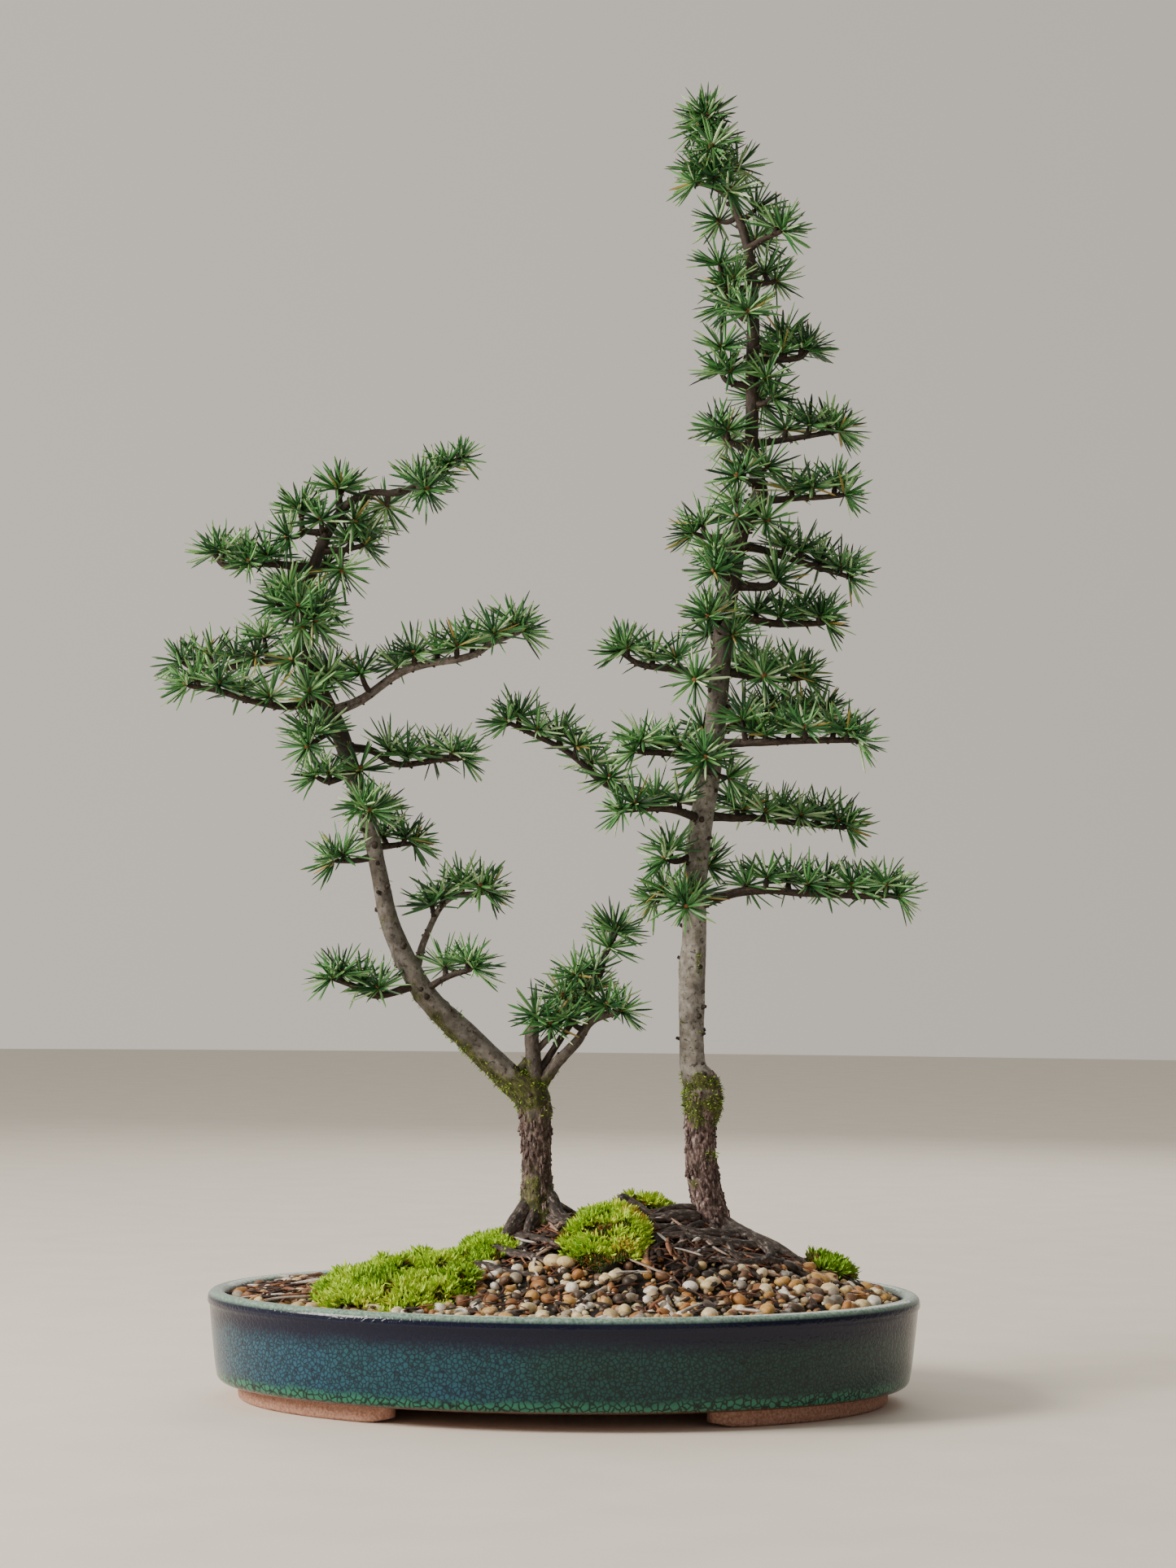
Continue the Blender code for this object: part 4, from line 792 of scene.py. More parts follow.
# Roots over the mound: first and last diameter, and points that are x and y from the pot's middle and
# the height over the ground.
SURFACE_ROOTS = [
    (6.0, 2.6, [(66, -2, 6), (52, -10, 5), (38, -16, 3), (24, -24, 1)]),
    (6.5, 3.0, [(98, -10, 2), (84, -20, 3), (66, -24, 3), (50, -26, 2), (36, -32, 0)]),
    (5.0, 2.4, [(108, -18, 1), (92, -28, 2), (76, -32, 2), (58, -34, 1), (44, -42, 0)]),
    (5.0, 2.0, [(80, -4, 5), (78, -18, 4), (84, -32, 2), (96, -44, 0)]),
    (4.5, 2.0, [(86, -4, 4), (98, -14, 2), (112, -20, 1), (126, -22, 0)]),
    (4.0, 1.8, [(68, -8, 5), (60, -20, 4), (56, -36, 2), (62, -50, 0)]),
    (4.5, 2.0, [(76, 10, 4), (64, 22, 2), (48, 34, 1), (40, 46, 0)]),
    (4.5, 2.0, [(82, 12, 3), (96, 26, 1), (112, 34, 0)]),
    (4.0, 2.0, [(66, 6, 6), (54, 12, 6), (44, 10, 3), (30, 12, 0)]),
    (5.0, 2.2, [(-8, -4, 6), (2, -12, 2), (8, -24, 0), (6, -38, 0)]),
    (5.5, 2.4, [(-20, -2, 6), (-30, -10, 3), (-38, -20, 0)]),
    (4.5, 2.0, [(-16, 10, 5), (-26, 22, 1), (-34, 36, 0)]),
    (5.0, 2.2, [(-34, -20, 4), (-24, -32, 3), (-10, -40, 2), (6, -50, 0)]),
    (4.5, 2.0, [(-46, -30, 3), (-35, -42, 2), (-20, -50, 1), (-4, -58, 0)]),
    (4.0, 1.8, [(-24, -14, 4), (-12, -25, 3), (2, -33, 2), (14, -42, 0)]),
    (4.5, 2.0, [(-4, 8, 5), (6, 20, 1), (10, 34, 0)]),
    (8.0, 4.0, [(-17, 3, 16), (-24, -3, 8), (-31, -9, 2), (-37, -15, -1)]),
    (7.5, 3.5, [(-9, 2, 16), (-3, -5, 7), (3, -11, 1), (8, -17, -1)]),
    (6.5, 3.5, [(-14, 0, 12), (-17, -8, 5), (-20, -17, 1), (-22, -26, -1)]),
    (6.0, 3.0, [(-8, 8, 14), (-1, 12, 6), (6, 15, 1), (12, 18, -1)]),
    (3.5, 1.6, [(60, -14, 3), (48, -22, 4), (36, -24, 5), (26, -22, 3)]),
    (3.2, 1.4, [(100, -6, 2), (114, -8, 1), (128, -14, 0), (140, -18, 0)]),
    (5.5, 2.4, [(90, -8, 6), (100, -22, 4), (92, -34, 3), (76, -42, 1)]),
    (4.6, 2.0, [(84, -14, 5), (70, -20, 5), (54, -22, 4), (42, -30, 2), (30, -44, 0)]),
    (4.2, 1.8, [(104, -24, 3), (88, -36, 3), (70, -40, 2), (52, -48, 0)]),
    (3.6, 1.6, [(72, 2, 9), (60, 0, 9), (50, -4, 7), (42, -12, 4)]),
]

# Living and dead conifer bark: matt, with the colour of each stage read from the wood's own layers.
bark, tree, shader = start_material("cedar_bark", Roughness=0.82)
grain = add_node(tree, "Attribute", attribute_name="grain").outputs["Vector"]
flaky, mossy, twiggy, relief, bud, bleached = (
    add_node(tree, "Attribute", attribute_name=label).outputs["Fac"]
    for label in ("flaky", "mossy", "twiggy", "relief", "bud", "bleached"))
blotch = add_node(tree, "TexNoise", {"Vector": grain, "Scale": 1 / 0.0045, "Detail": 5.0,
                                     "Roughness": 0.65}).outputs["Fac"]
drawn_out = add_node(tree, "VectorMath", {0: grain, 1: (1.0, 1.0, 0.42)}, operation="MULTIPLY").outputs[0]
spots = add_node(tree, "TexNoise", {"Vector": drawn_out, "Scale": 1 / 0.0014, "Detail": 4.0,
                                    "Roughness": 0.7}).outputs["Fac"]
specks = add_node(tree, "TexNoise", {"Vector": grain, "Scale": 1 / 0.0019, "Detail": 3.0}).outputs["Fac"]
specks = add_node(tree, "MapRange", {"Value": specks, "From Min": 0.34, "From Max": 0.42,
                                     "To Min": 0.30, "To Max": 1.0}).outputs[0]
smooth = add_node(tree, "ValToRGB", {"Fac": blotch}, [
    (0.30, "#5e574f"), (0.45, "#807a72"), (0.60, "#9a958e"), (0.75, "#b4b0aa")]).outputs[0]
smooth = add_node(tree, "VectorMath", {0: smooth, 3: specks}, operation="SCALE").outputs[0]
plates = add_node(tree, "ValToRGB", {"Fac": spots}, [
    (0.30, "#130d0c"), (0.43, "#3b2b28"), (0.53, "#6b5450"), (0.62, "#97837d"),
    (0.72, "#d2cac6")]).outputs[0]
scales = add_node(tree, "ValToRGB", {"Fac": spots}, [
    (0.28, "#120d0b"), (0.48, "#2c211a"), (0.66, "#4e3f33"), (0.82, "#86725c")]).outputs[0]
silver = add_node(tree, "ValToRGB", {"Fac": spots}, [
    (0.40, "#0e0a08"), (0.54, "#2a211c"), (0.62, "#6e675f"), (0.74, "#c6c2bb")]).outputs[0]
green = add_node(tree, "ValToRGB", {"Fac": spots}, [
    (0.30, "#24240f"), (0.50, "#454520"), (0.70, "#6f7036"), (0.85, "#9c9a5c")]).outputs[0]
colour = add_node(tree, "Mix", {0: flaky, 6: smooth, 7: plates}, data_type="RGBA").outputs[2]
colour = add_node(tree, "Mix", {0: twiggy, 6: colour, 7: scales}, data_type="RGBA").outputs[2]
# Silver grey on the upper side: partly weathered wood, partly painted highlight from above.
colour = add_node(tree, "Mix", {0: bleached, 6: colour, 7: silver}, data_type="RGBA").outputs[2]
colour = add_node(tree, "Mix", {0: mossy, 6: colour, 7: green}, data_type="RGBA").outputs[2]
colour = add_node(tree, "Mix", {0: bud, 6: colour, 7: "#9a6238"}, data_type="RGBA").outputs[2]
# Painted shade: the colour is darkened in the bark's hollows and lightened a little on its ridges, following
# the relief.
painted_hollow_shade = add_node(tree, "MapRange", {"Value": relief, "From Min": -1.0, "From Max": 0.6,
                                     "To Min": 0.30, "To Max": 1.1}).outputs[0]
colour = add_node(tree, "VectorMath", {0: colour, 3: painted_hollow_shade}, operation="SCALE").outputs[0]
tree.links.new(colour, shader.inputs["Base Color"])
bump = add_node(tree, "Bump", {"Height": spots, "Strength": 0.5, "Distance": 0.0005}).outputs[0]
tree.links.new(bump, shader.inputs["Normal"])


def smooth_route(points, step):
    """Even points on a Catmull-Rom curve through the given ones; columns after the third go along."""
    points = np.asarray(points, float)
    padded = np.vstack([2 * points[0] - points[1], points, 2 * points[-1] - points[-2]])
    way = np.linspace(0, 1, 14, endpoint=False)[:, None]
    before, start, end, after = (padded[k:len(points) - 1 + k][:, None] for k in range(4))
    curve = 0.5 * (2 * start + (end - before) * way + (2 * before - 5 * start + 4 * end - after) * way ** 2
                   + (3 * start - before - 3 * end + after) * way ** 3)
    curve = np.vstack([curve.reshape(-1, points.shape[1]), points[-1:]])
    lengths = np.concatenate([[0], np.cumsum(np.linalg.norm(np.diff(curve[:, :3], axis=0), axis=1))])
    even = np.linspace(0, lengths[-1], max(4, int(lengths[-1] / step)) + 1)
    return np.column_stack([np.interp(even, lengths, column) for column in curve.T]), even


def directions_along(path):
    """The unit direction of a route at each of its points."""
    return unit(np.gradient(path, axis=0))


def wood_rings(path, lengths, radii, sides, flaky, seed):
    """Rings of bark: the radius at each point plus a relief, which is noise drawn out along it.

    Flaking bark adds long plates of 2 by 9 mm, and all bark has grains of about a millimetre. The
    ends are closed by letting the radius fall over the last steps as a quarter circle does.
    """
    ways = directions_along(path)
    overall = np.abs(path[-1] - path[0])
    side = unit(np.cross(ways, np.eye(3)[np.argmin(overall)]))
    up = np.cross(ways, side)
    turn = np.linspace(0, 2 * np.pi, sides, endpoint=False)
    cosine, sine = np.cos(turn)[None, :, None], np.sin(turn)[None, :, None]
    outward = cosine * side[:, None] + sine * up[:, None]
    steps = np.minimum(np.arange(len(path)), np.arange(len(path))[::-1])
    closing = np.sqrt(1 - (1 - np.clip((steps + 0.5) / 2.5, 0, 1)) ** 2)
    across = np.stack([np.cos(turn) * radii[:, None], np.sin(turn) * radii[:, None],
                       np.repeat(lengths[:, None], sides, axis=1)], axis=-1) + seed * 0.37
    plates = 1 - 2 * np.abs(noise(across * [1, 1, 0.24], 0.0021, 3))
    grains = noise(across * [1, 1, 0.6], 0.0011, 4)
    swells = noise(across * [1, 1, 0.7], 0.0060, 5)
    rough = flaky[:, None]
    shape = rough * (0.62 * plates + 0.38 * grains) + (1 - rough) * (0.45 * grains + 0.55 * swells)
    height = np.minimum(RELIEF * radii, RELIEF_LIMIT)[:, None] * (0.30 + rough) * shape
    rings = path[:, None] + outward * ((radii * closing)[:, None] + height)[..., None]
    return rings, outward, across, shape


class Wood:
    """The tubes of one tree, gathered as whole arrays before they become one mesh."""

    LAYERS = ("grain", "flaky", "mossy", "twiggy", "relief", "bud", "bleached")

    def __init__(self):
        self.points, self.quads, self.triangles, self.count = [], [], [], 0
        self.layers = {label: [] for label in self.LAYERS}
        self.moss_places, self.moss_ways = [], []

    def add(self, points, faces, **layers):
        """Add closed bodies; a layer that isn't given is 0 all over."""
        for part in faces:
            (self.quads if part.shape[1] == 4 else self.triangles).append(part + self.count)
        self.points.append(points)
        self.count += len(points)
        for label in self.LAYERS:
            width = (len(points), 3) if label == "grain" else (len(points),)
            self.layers[label].append(np.broadcast_to(layers.get(label, 0.0), width))

    def add_tube(self, path, lengths, radii, sides, flaky, twiggy, bleached, moss_rule, seed):
        """One trunk, branch or root, with moss where the rule says it grows."""
        rings, outward, across, shape = wood_rings(path, lengths, radii, sides, flaky, seed)
        mossy = moss_rule(rings, outward)
        fuzz = mossy * (0.0004 + 0.0006 * noise(rings, 0.0016, 7))
        rings = rings + outward * fuzz[..., None]
        points, faces = rings_mesh(rings)

        def spread(values):
            whole = np.broadcast_to(values, rings.shape[:2]).reshape(-1)
            return np.concatenate([whole, whole[:1], whole[-1:]])

        grain = np.vstack([across.reshape(-1, 3), across[:1, 0], across[-1:, 0]])
        # The silver share grows towards the upper side: partly weathering, partly painted highlight from
        # above.
        self.add(points, faces, grain=grain, flaky=spread(flaky[:, None]), mossy=spread(mossy),
                 twiggy=spread(twiggy[:, None]), relief=spread(shape),
                 bleached=spread(bleached * np.clip(0.5 + 1.3 * outward[..., 2], 0, 1)))
        self.moss_places.append(rings[mossy > 0.55])
        self.moss_ways.append(outward[mossy > 0.55])

    def finish(self, name, replaced):
        """Make the piece."""
        layers = {label: np.concatenate(parts) for label, parts in self.layers.items()}
        add_piece(name, np.vstack(self.points), [np.vstack(self.quads), np.vstack(self.triangles)],
                  [bark], "bark", replaced, **layers)


def knob_shape():
    """A unit spur along Z: three scaly steps that narrow to a rounded end."""
    way = np.array([0.0, 0.25, 0.3, 0.55, 0.6, 0.85, 1.0])
    wide = np.array([0.62, 0.55, 0.46, 0.52, 0.42, 0.46, 0.25])
    turn = np.linspace(0, 2 * np.pi, 8, endpoint=False)
    return rings_mesh(np.stack([wide[:, None] * np.cos(turn), wide[:, None] * np.sin(turn),
                                np.repeat(way[:, None], len(turn), axis=1)], axis=-1))


def add_knobs(wood, feet, ways, widths, lengths, draw, flaky=0.0, twiggy=1.0, bud=0.0):
    """Spurs standing on the wood at these feet, pointing these ways; buds are orange brown."""
    shape, faces = knob_shape()
    sizes = np.column_stack([widths, widths, lengths])
    shapes = np.repeat(shape[None], len(feet), axis=0)
    turns = frames_to(ways, draw.uniform(0, RANDOM_ROLL, len(feet)))
    points, faces = copies(shapes, faces, feet, turns, sizes)
    wood.add(points, faces, grain=points, flaky=flaky, twiggy=twiggy, relief=0.1, bud=bud)


def no_moss(rings, outward):
    """Clean wood."""
    return np.zeros(rings.shape[:2])


def left_moss(rings, outward):
    """Left tree: moss round the fork and its underside, on the collar above the soil and in streaks."""
    x = rings[..., 0] - left_foot[0]
    z = rings[..., 2] - left_foot[2]
    patches = 0.5 + 0.5 * noise(rings, 0.0055, 21) + 0.35 * noise(rings, 0.0020, 22)
    fork = np.exp(-((z - 0.066) / 0.012) ** 2)
    below = np.clip((0.150 - z) / 0.04, 0, 1) * (x < -0.004) * (z > 0.055)
    under = np.clip(-outward[..., 2] * 1.3, 0, 1) * below
    upper_collar = np.exp(-((z - 0.022) / 0.010) ** 2) * (outward[..., 0] < 0)
    collar = np.exp(-((z - 0.003) / 0.010) ** 2) * 0.9 + 0.5 * upper_collar
    streak = 0.42 * (z < 0.20)
    amount = 0.75 * fork + 0.65 * under + 0.95 * collar + 0.6 * streak + 0.75 * patches
    return np.clip((amount - 0.82) * 3.0, 0, 1)


def right_moss(rings, outward):
    """Right tree: moss all round the graft's swelling, and lichen in small patches under it."""
    z = rings[..., 2] - right_foot[2]
    patches = 0.5 + 0.5 * noise(rings, 0.0050, 23) + 0.35 * noise(rings, 0.0018, 24)
    graft = np.exp(-(np.abs(z - 0.064) / 0.0135) ** 4)
    lower = 0.45 * np.clip((0.055 - z) / 0.01, 0, 1) * np.clip((z - 0.004) / 0.02, 0, 1)
    streak = 0.34 * (z > 0.07) * (z < 0.20)
    amount = 0.75 * graft + 0.8 * lower + 0.8 * streak + 0.70 * patches
    return np.clip((amount - 0.78) * 3.0, 0, 1)


left_foot = np.array([POT_X + LEFT_TREE_X, TREES_Y, ground(POT_X + LEFT_TREE_X, TREES_Y)])
right_foot = np.array([POT_X + RIGHT_TREE_X, TREES_Y, ground(POT_X + RIGHT_TREE_X, TREES_Y)])
left_scale = LEFT_TREE_HEIGHT / LEFT_TRUNK[-1][2]
right_scale = RIGHT_TREE_HEIGHT / RIGHT_TRUNK[-1][2]


def in_pot(route, foot, scale):
    """A route from the trunk's foot, in the pot's frame."""
    return foot + np.asarray(route, float)[:, :3] * scale


def nearest_on(path, place):
    """The point of a fine route nearest to a place."""
    return path[np.argmin(np.linalg.norm(path - place, axis=1))]


def wood_line(places, diameters, step):
    """Even points, their distances along and their radii, for a route with these diameters."""
    line, lengths = smooth_route(np.column_stack([places, np.asarray(diameters) / 2 * MM]), step)
    return line[:, :3], lengths, line[:, 3]


def square_to(vectors, ways):
    """Each row of vectors less its part along the same row of ways, at length one."""
    return unit(vectors - np.sum(vectors * ways, axis=1, keepdims=True) * ways)


def add_scars(wood, draw, path, radii, height, count):
    """Small knobs where branches were cut off the trunk, all over it but for its foot."""
    chosen = draw.choice(np.flatnonzero(height > 0.03), count, replace=False)
    turn = draw.uniform(0, 2 * np.pi, count)
    ways = directions_along(path)[chosen]
    around = square_to(np.column_stack([np.cos(turn), np.sin(turn), np.full(count, 0.2)]), ways)
    feet = path[chosen] + around * (radii[chosen] * 0.85)[:, None]
    add_knobs(wood, feet, around + 0.3 * ways, draw.uniform(0.0013, 0.0030, count),
              draw.uniform(0.0014, 0.0036, count), draw, flaky=0.3)


def add_flakes(wood, draw, path, radii, height, top):
    """Flakes of old bark that stand off the foot of the trunk, most of them pointing down."""
    chosen = draw.choice(np.flatnonzero((height > 0.002) & (height < top)), FLAKE_COUNT)
    turn = draw.uniform(0, 2 * np.pi, FLAKE_COUNT)
    ways = directions_along(path)[chosen]
    around = square_to(np.column_stack([np.cos(turn), np.sin(turn), np.zeros(FLAKE_COUNT)]), ways)
    upright = np.where(draw.random(FLAKE_COUNT) < 0.3, 1, -1)[:, None] * ways
    slant = upright + draw.uniform(0.1, 0.4, (FLAKE_COUNT, 1)) * around
    feet = path[chosen] + around * (radii[chosen] * 0.97)[:, None]
    add_knobs(wood, feet, slant, draw.uniform(0.0009, 0.0018, FLAKE_COUNT),
              draw.uniform(0.0022, 0.0050, FLAKE_COUNT), draw, flaky=1.0, twiggy=0.0)


def bark_stage(label):
    """The stage of a branch's bark, from the branch's name."""
    if "root" in label:
        return "root"
    if label in OLD_WOOD:
        return "old"
    return "silver" if label in SILVER_WOOD else "twig"


def add_branch(wood, path, lengths, radii, label, moss_rule, seed):
    """One branch or root, flared where it joins the trunk; only roots and old wood may bear moss."""
    stage = bark_stage(label)
    flaky, twiggy, bleached = (np.full(len(path), share) for share in BARK_STAGES[stage])
    if label == "cut_root":
        bleached[lengths > lengths[-1] - 0.005] = 1.6       # bare wood at the cut
    flare = 1 + 0.55 * np.exp(-lengths / 0.006)
    wood.add_tube(path, lengths, radii * flare, 18 if radii[0] > 0.003 else 14, flaky, twiggy,
                  bleached[:, None], moss_rule if stage in ("root", "old") else no_moss, seed)


def add_scales(wood, draw, path, lengths, radii):
    """Scaly knobs along a twig, leaning towards its tip."""
    ways = directions_along(path)
    count = int(lengths[-1] / SCALE_SPACING)
    chosen = draw.integers(3, len(path), count)
    around = square_to(draw.normal(0, 1, (count, 3)), ways[chosen])
    feet = path[chosen] + around * (radii[chosen] * 0.7)[:, None]
    add_knobs(wood, feet, around + 0.7 * ways[chosen], draw.uniform(0.0009, 0.0016, count),
              draw.uniform(0.0009, 0.0018, count), draw)


def add_short_shoots(wood, draw, path, lengths, radii, bare):
    """Short shoots with their buds: evenly along the twig past its bare share, mostly on its upper
    side, and one on its tip. Returns the places, axes and needle lengths of their tufts.
    """
    ways = directions_along(path)
    total = lengths[-1]
    span = (1 - bare) * total
    count = max(1, round(span / TUFT_SPACING))
    order = np.arange(count)
    shares = bare * total + (order + 0.5) / count * span
    at = np.clip(np.searchsorted(lengths, shares + draw.normal(0, 0.0012, count)), 0, len(path) - 1)
    sideways = np.cross(ways[at], [[0, 0, 1.0]])
    lean = np.where(order % 2, 1, -1)[:, None] * draw.uniform(0.1, 0.8, (count, 1))
    axes = [0, 0, 1.0] + sideways * lean + 0.25 * ways[at] + draw.normal(0, 0.18, (count, 3))
    axes = unit(axes - 0.4 * np.sum(axes * ways[at], axis=1, keepdims=True) * ways[at])
    reach = radii[at] + draw.uniform(0.0018, 0.0050, count)
    add_knobs(wood, path[at], axes, np.full(count, 0.0030), reach, draw)
    places = np.vstack([path[at] + axes * reach[:, None], path[-1:]])
    axes = np.vstack([axes, unit(ways[-1:] + [0, 0, 0.35])])
    add_knobs(wood, places, axes, np.full(count + 1, 0.0028), np.full(count + 1, 0.0024), draw, bud=0.8)
    return places, axes, np.append(np.full(count, NEEDLE_LENGTH), END_NEEDLE_LENGTH)


def add_trunk_spurs(wood, draw, spurs, bearing):
    """Short spurs from the nearest wood towards these ends, with a bud on each; returns their tufts."""
    ends, ways = spurs.copy(), np.zeros_like(spurs)
    for number, end in enumerate(spurs):
        distance = np.linalg.norm(nearest_on(bearing, end) - end)
        start = nearest_on(bearing, end - [0, 0, 0.2 * distance])
        end = start + (end - start) * min(1, SPUR_LENGTH / np.linalg.norm(end - start))
        middle = (start + end) / 2 - [0, 0, 0.0015]
        path, lengths, radii = wood_line(np.stack([start, middle, end]), SPUR_DIAMETERS, SPUR_STEP)
        whole = np.ones(len(path))
        wood.add_tube(path, lengths, radii, 10, 0.4 * whole, whole, 0.0, no_moss, 40 + number)
        ends[number] = end
        ways[number] = (end - start) / np.linalg.norm(end - start) + [0, 0, 0.45]
    axes = unit(ways)
    add_knobs(wood, ends, axes, np.full(len(ends), 0.0030), np.full(len(ends), 0.0026), draw, bud=0.8)
    return ends, axes, np.full(len(ends), SPUR_NEEDLE_LENGTH)


def leader_tufts(path):
    """Tufts on the last stretch of the leader, leaning from its own direction."""
    below, leans, needle_lengths = zip(*LEADER_TUFTS)
    axes = unit(directions_along(path)[-1] + np.array(leans))
    return path[-np.array(below)] + axes * 0.002, axes, np.array(needle_lengths)


tufts = {}      # by branch: places, axes and needle lengths
for tree_name, trunk, branches, spurs, foot, scale, moss_rule, flaky_top, brown, scars, seed in (
        ("left_tree", LEFT_TRUNK, LEFT_BRANCHES, LEFT_SPURS, left_foot, left_scale, left_moss,
         LEFT_FLAKY_TOP, 0.45, 70, 100),
        ("right_tree", RIGHT_TRUNK, RIGHT_BRANCHES, RIGHT_SPURS, right_foot, right_scale, right_moss,
         RIGHT_FLAKY_TOP, 0.0, 110, 200)):
    draw = np.random.default_rng(seed)
    wood = Wood()
    diameters = [point[3] for point in trunk]
    trunk_path, lengths, radii = wood_line(in_pot(trunk, foot, scale), diameters, TRUNK_STEP)
    above = trunk_path[:, 2] - foot[2]
    flaky = np.clip((flaky_top - above) / 0.010, 0, 1)
    twiggy = np.clip((above - BROWN_FROM * trunk[-1][2] * scale) / 0.10, brown, 0.95)
    wood.add_tube(trunk_path, lengths, radii, 40, flaky, twiggy, 0.0, moss_rule, 0)
    add_scars(wood, draw, trunk_path, radii, above, scars)
    add_flakes(wood, draw, trunk_path, radii, above, flaky_top)

    bearing = [trunk_path[above > 0.12]]       # the wood that spurs may grow from
    for number, (label, points, first, last, bare) in enumerate(branches):
        route = in_pot(points, foot, scale)
        route[0] = nearest_on(trunk_path, route[0])
        path, lengths, radii = wood_line(route, np.linspace(first, last, len(points)), BRANCH_STEP)
        path = path + noise(path + number, 0.012, 31)[:, None] * [0.0006, 0.0009, 0.0006]
        add_branch(wood, path, lengths, radii, label, moss_rule, number + 1)
        if bark_stage(label) == "root":
            continue
        bearing.append(path)
        add_scales(wood, draw, path, lengths, radii)
        if bare < 1:
            tufts[f"{tree_name}_{label}"] = add_short_shoots(wood, draw, path, lengths, radii, bare)
    tufts[f"{tree_name}_trunk"] = add_trunk_spurs(wood, draw, in_pot(spurs, foot, scale), np.vstack(bearing))
    tufts[f"{tree_name}_leader"] = leader_tufts(trunk_path)
    wood.finish(f"{tree_name}_wood", [tree_name])

    places, ways = np.vstack(wood.moss_places), np.vstack(wood.moss_ways)
    chosen = draw.choice(len(places), min(len(places), 1500), replace=False)
    grow_leaves(f"{tree_name}_bark_moss", places[chosen], ways[chosen],
                draw.uniform(0.0010, 0.0022, len(chosen)), draw.uniform(0.0, 0.42, len(chosen)), seed + 5)

# The surface roots lie on the mound, twist a little and are silver grey on top: partly weathered wood,
# partly painted highlight from above.
roots = Wood()
for number, (first, last, points) in enumerate(SURFACE_ROOTS):
    route = np.asarray(points, float) * MM
    x, y = POT_X + route[:, 0], route[:, 1]
    route = np.column_stack([x, y, ground(x, y) + route[:, 2] - 0.0005])
    path, lengths, radii = wood_line(route, np.linspace(first, last, len(points)), BRANCH_STEP)
    path = path + noise(path + number, 0.010, 33)[:, None] * [0.0015, 0.0022, 0.0008]
    whole = np.ones(len(path))
    roots.add_tube(path, lengths, radii, 16, 0.8 * whole, 0 * whole, 0.8, no_moss, 70 + number)
roots.finish("surface_roots", [])


# ---- Needles ---------------------------------------------------------------------------------------
# Stiff cedar needles of about 16 mm in open tufts, one tuft on each short shoot. A needle is four
# sided, a millimetre wide, and ends in a point that often yellows.

# Waxy cedar needle: deep green with a bluish bloom, a little gloss along its edges. Its random tints
# run from painted shade to painted highlight as well as its own tone, and painted shade darkens its foot.
needle_green, tree, shader = start_material("cedar_needle_with_painted_light", Roughness=0.42, Specular_IOR_Level=0.45)
tint = add_node(tree, "Attribute", attribute_name="tint").outputs["Fac"]
along = add_node(tree, "Attribute", attribute_name="tip").outputs["Fac"]
# The tint ramp: partly the needles' own random tone and waxy bloom, partly painted shade at its dark end and
# painted highlight at its pale end.
green = add_node(tree, "ValToRGB", {"Fac": tint}, [
    (0.00, "#15331d"), (0.26, "#2a5c31"), (0.50, "#4c8b47"), (0.72, "#86b873"), (0.90, "#c4deae"),
    (1.00, "#a58f48")]).outputs[0]
ends = add_node(tree, "ValToRGB", {"Fac": along}, [(0.90, "#000000"), (1.00, "#ffffff")]).outputs[0]
colour = add_node(tree, "Mix", {0: ends, 6: green, 7: "#8f7a3a"}, data_type="RGBA").outputs[2]
# Painted shade: each needle is darkened towards its foot, in the heart of its tuft.
foot = add_node(tree, "MapRange", {"Value": along, "From Min": 0.0, "From Max": 0.22,
                                   "To Min": 0.55, "To Max": 1.0}).outputs[0]
colour = add_node(tree, "VectorMath", {0: colour, 3: foot}, operation="SCALE").outputs[0]
tree.links.new(colour, shader.inputs["Base Color"])


def needle_shape():
    """A unit needle along Z: four sides, narrow at its foot, full to four fifths and then pointed."""
    way = np.array([0.0, 0.12, 0.5, 0.82, 0.95])
    wide = np.array([0.55, 0.95, 1.0, 0.80, 0.42]) / 2
    turn = np.array([0, 0.5, 1.0, 1.5]) * np.pi
    points, faces = rings_mesh(np.stack([wide[:, None] * np.cos(turn), wide[:, None] * np.sin(turn) * 0.7,
                                         np.repeat(way[:, None], len(turn), axis=1)], axis=-1))
    points[-1] = (0, 0, 1)
    return points, faces


NEEDLES_PER_TUFT = 40
GOLDEN_ANGLE = 2.39996     # radians


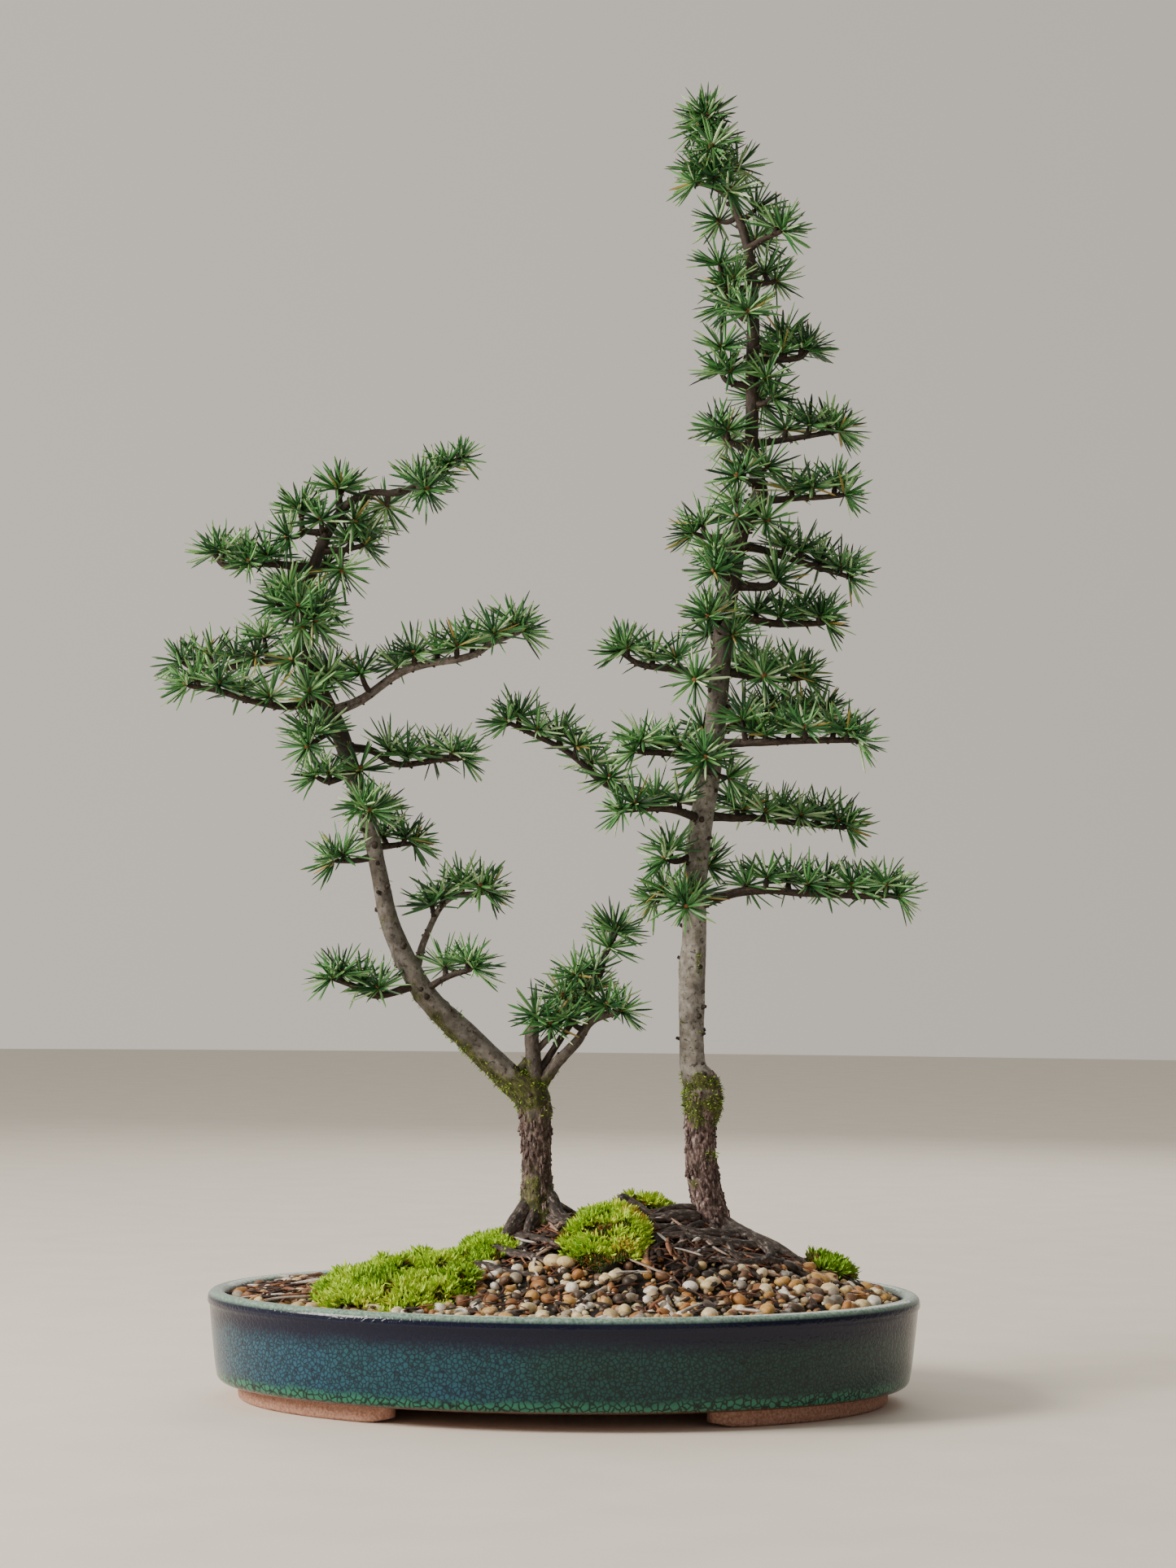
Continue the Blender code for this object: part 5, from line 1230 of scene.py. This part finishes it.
def grow_tufts(name, places, axes, sizes, seed, replaced):
    """A tuft on each place: its needles turn by the golden angle and open from its axis outwards."""
    draw = np.random.default_rng(seed)
    count, each = len(places), NEEDLES_PER_TUFT
    order = np.arange(each)
    opening = np.radians(12 + 80 * np.sqrt((order + 0.5) / each)) + draw.normal(0, 0.11, (count, each))
    turning = order * GOLDEN_ANGLE + draw.uniform(0, RANDOM_ROLL, (count, 1))
    turning = turning + draw.normal(0, 0.2, (count, each))
    local = np.stack([np.sin(opening) * np.cos(turning), np.sin(opening) * np.sin(turning),
                      np.cos(opening)], axis=-1)
    ways = np.einsum("nij,nkj->nki", frames_to(axes, np.zeros(count)), local).reshape(-1, 3)
    lengths = np.repeat(sizes, each) * draw.uniform(0.74, 1.14, count * each)
    starts = np.repeat(places, each, axis=0) + ways * 0.0006
    shape, faces = needle_shape()
    shapes = np.repeat(shape[None], len(starts), axis=0)
    shapes[..., 1] += draw.normal(0.0, 1.0, (len(starts), 1)) * shape[:, 2] ** 2
    widths = draw.uniform(0.00105, 0.00145, len(starts))
    turns = frames_to(ways, draw.uniform(0, RANDOM_ROLL, len(starts)))
    points, faces = copies(shapes, faces, starts, turns, np.column_stack([widths, widths, lengths]))
    tuft_tint = np.repeat(draw.uniform(-0.14, 0.12, count), each)
    tints = np.clip(draw.beta(1.6, 2.2, len(starts)) + tuft_tint, 0, 0.90)
    tints = np.where(draw.random(len(starts)) < 0.012, 1.0, tints)
    add_piece(name, points, faces, [needle_green], "needles", replaced, flat=True,
              tint=np.repeat(tints, len(shape)), tip=np.tile(shape[:, 2], len(starts)))


for seed, (label, (places, axes, sizes)) in enumerate(tufts.items()):
    node = f"{label}_needles"
    known = [node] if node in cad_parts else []
    grow_tufts(f"{label}_tufts", places, axes, sizes, 300 + seed, known)


# ---- Floor, light and camera -----------------------------------------------------------------------
# A plain pale matt floor, soft daylight from a wide panel at the upper left, a pale room that is
# brighter at the left and back, and a long lens that looks almost level at the trees from the front.

FLOOR_RADIUS = 6.0
ROOM_SLOPE = (-0.34, 0.20, 0.0)            # the room gets brighter in this direction
ROOM_LEVEL = 0.64
LENS_LENGTH = 74.73                        # millimetres
CAMERA_PLACE = (POT_X + 0.0102, -1.615, 0.215)
CAMERA_PITCH, CAMERA_ROLL = 93.10, -0.55   # degrees; 90 looks level

paper, tree, shader = start_material("pale_matt_floor", Roughness=0.9)
place = add_node(tree, "TexCoord").outputs["Object"]
fibre = add_node(tree, "TexNoise", {"Vector": place, "Scale": 1 / 0.05, "Detail": 3.0}).outputs["Fac"]
colour = add_node(tree, "ValToRGB", {"Fac": fibre}, [(0.3, "#e3dcd1"), (0.7, "#e9e2d8")]).outputs[0]
tree.links.new(colour, shader.inputs["Base Color"])
bpy.ops.mesh.primitive_circle_add(vertices=96, radius=FLOOR_RADIUS, fill_type="NGON", location=(0, 0, 0))
floor = bpy.context.object
floor.name = "floor"
floor.data.materials.append(paper)

world = bpy.data.worlds.new("soft_room")
world.use_nodes = True
tree = world.node_tree
sky = tree.nodes["Background"]
direction = add_node(tree, "TexCoord").outputs["Generated"]
level = add_node(tree, "VectorMath", {0: direction, 1: ROOM_SLOPE},
                 operation="DOT_PRODUCT").outputs["Value"]
level = add_node(tree, "Math", {0: level, 1: ROOM_LEVEL}, operation="ADD").outputs[0]
walls = add_node(tree, "VectorMath", {0: linear("#e6dfd3")[:3], 3: level}, operation="SCALE").outputs[0]
tree.links.new(walls, sky.inputs["Color"])
bpy.context.scene.world = world


def add_panel(name, place, target, size, power, colour):
    """A square soft light at a place, facing a target."""
    lamp = bpy.data.lights.new(name, "AREA")
    lamp.size = size
    lamp.energy = power
    lamp.color = linear(colour)[:3]
    panel = bpy.data.objects.new(name, lamp)
    bpy.context.scene.collection.objects.link(panel)
    panel.location = place
    panel.rotation_euler = (Vector(target) - Vector(place)).to_track_quat("-Z", "Y").to_euler()


add_panel("window", (-1.9, -0.75, 1.25), (0.0, 0.0, 0.25), 0.9, 84, "#fff6ea")
add_panel("fill", (1.0, -2.2, 0.9), (0.0, 0.0, 0.25), 1.6, 2.5, "#eef3ff")
add_panel("back", (0.4, 1.8, 1.3), (0.0, 0.0, 0.3), 1.4, 14, "#fffaf2")

lens = bpy.data.cameras.new("long_lens")
lens.lens = LENS_LENGTH
camera = bpy.data.objects.new("camera", lens)
camera.location = CAMERA_PLACE
camera.rotation_euler = (math.radians(CAMERA_PITCH), math.radians(CAMERA_ROLL), 0.0)
bpy.context.scene.collection.objects.link(camera)
bpy.context.scene.camera = camera
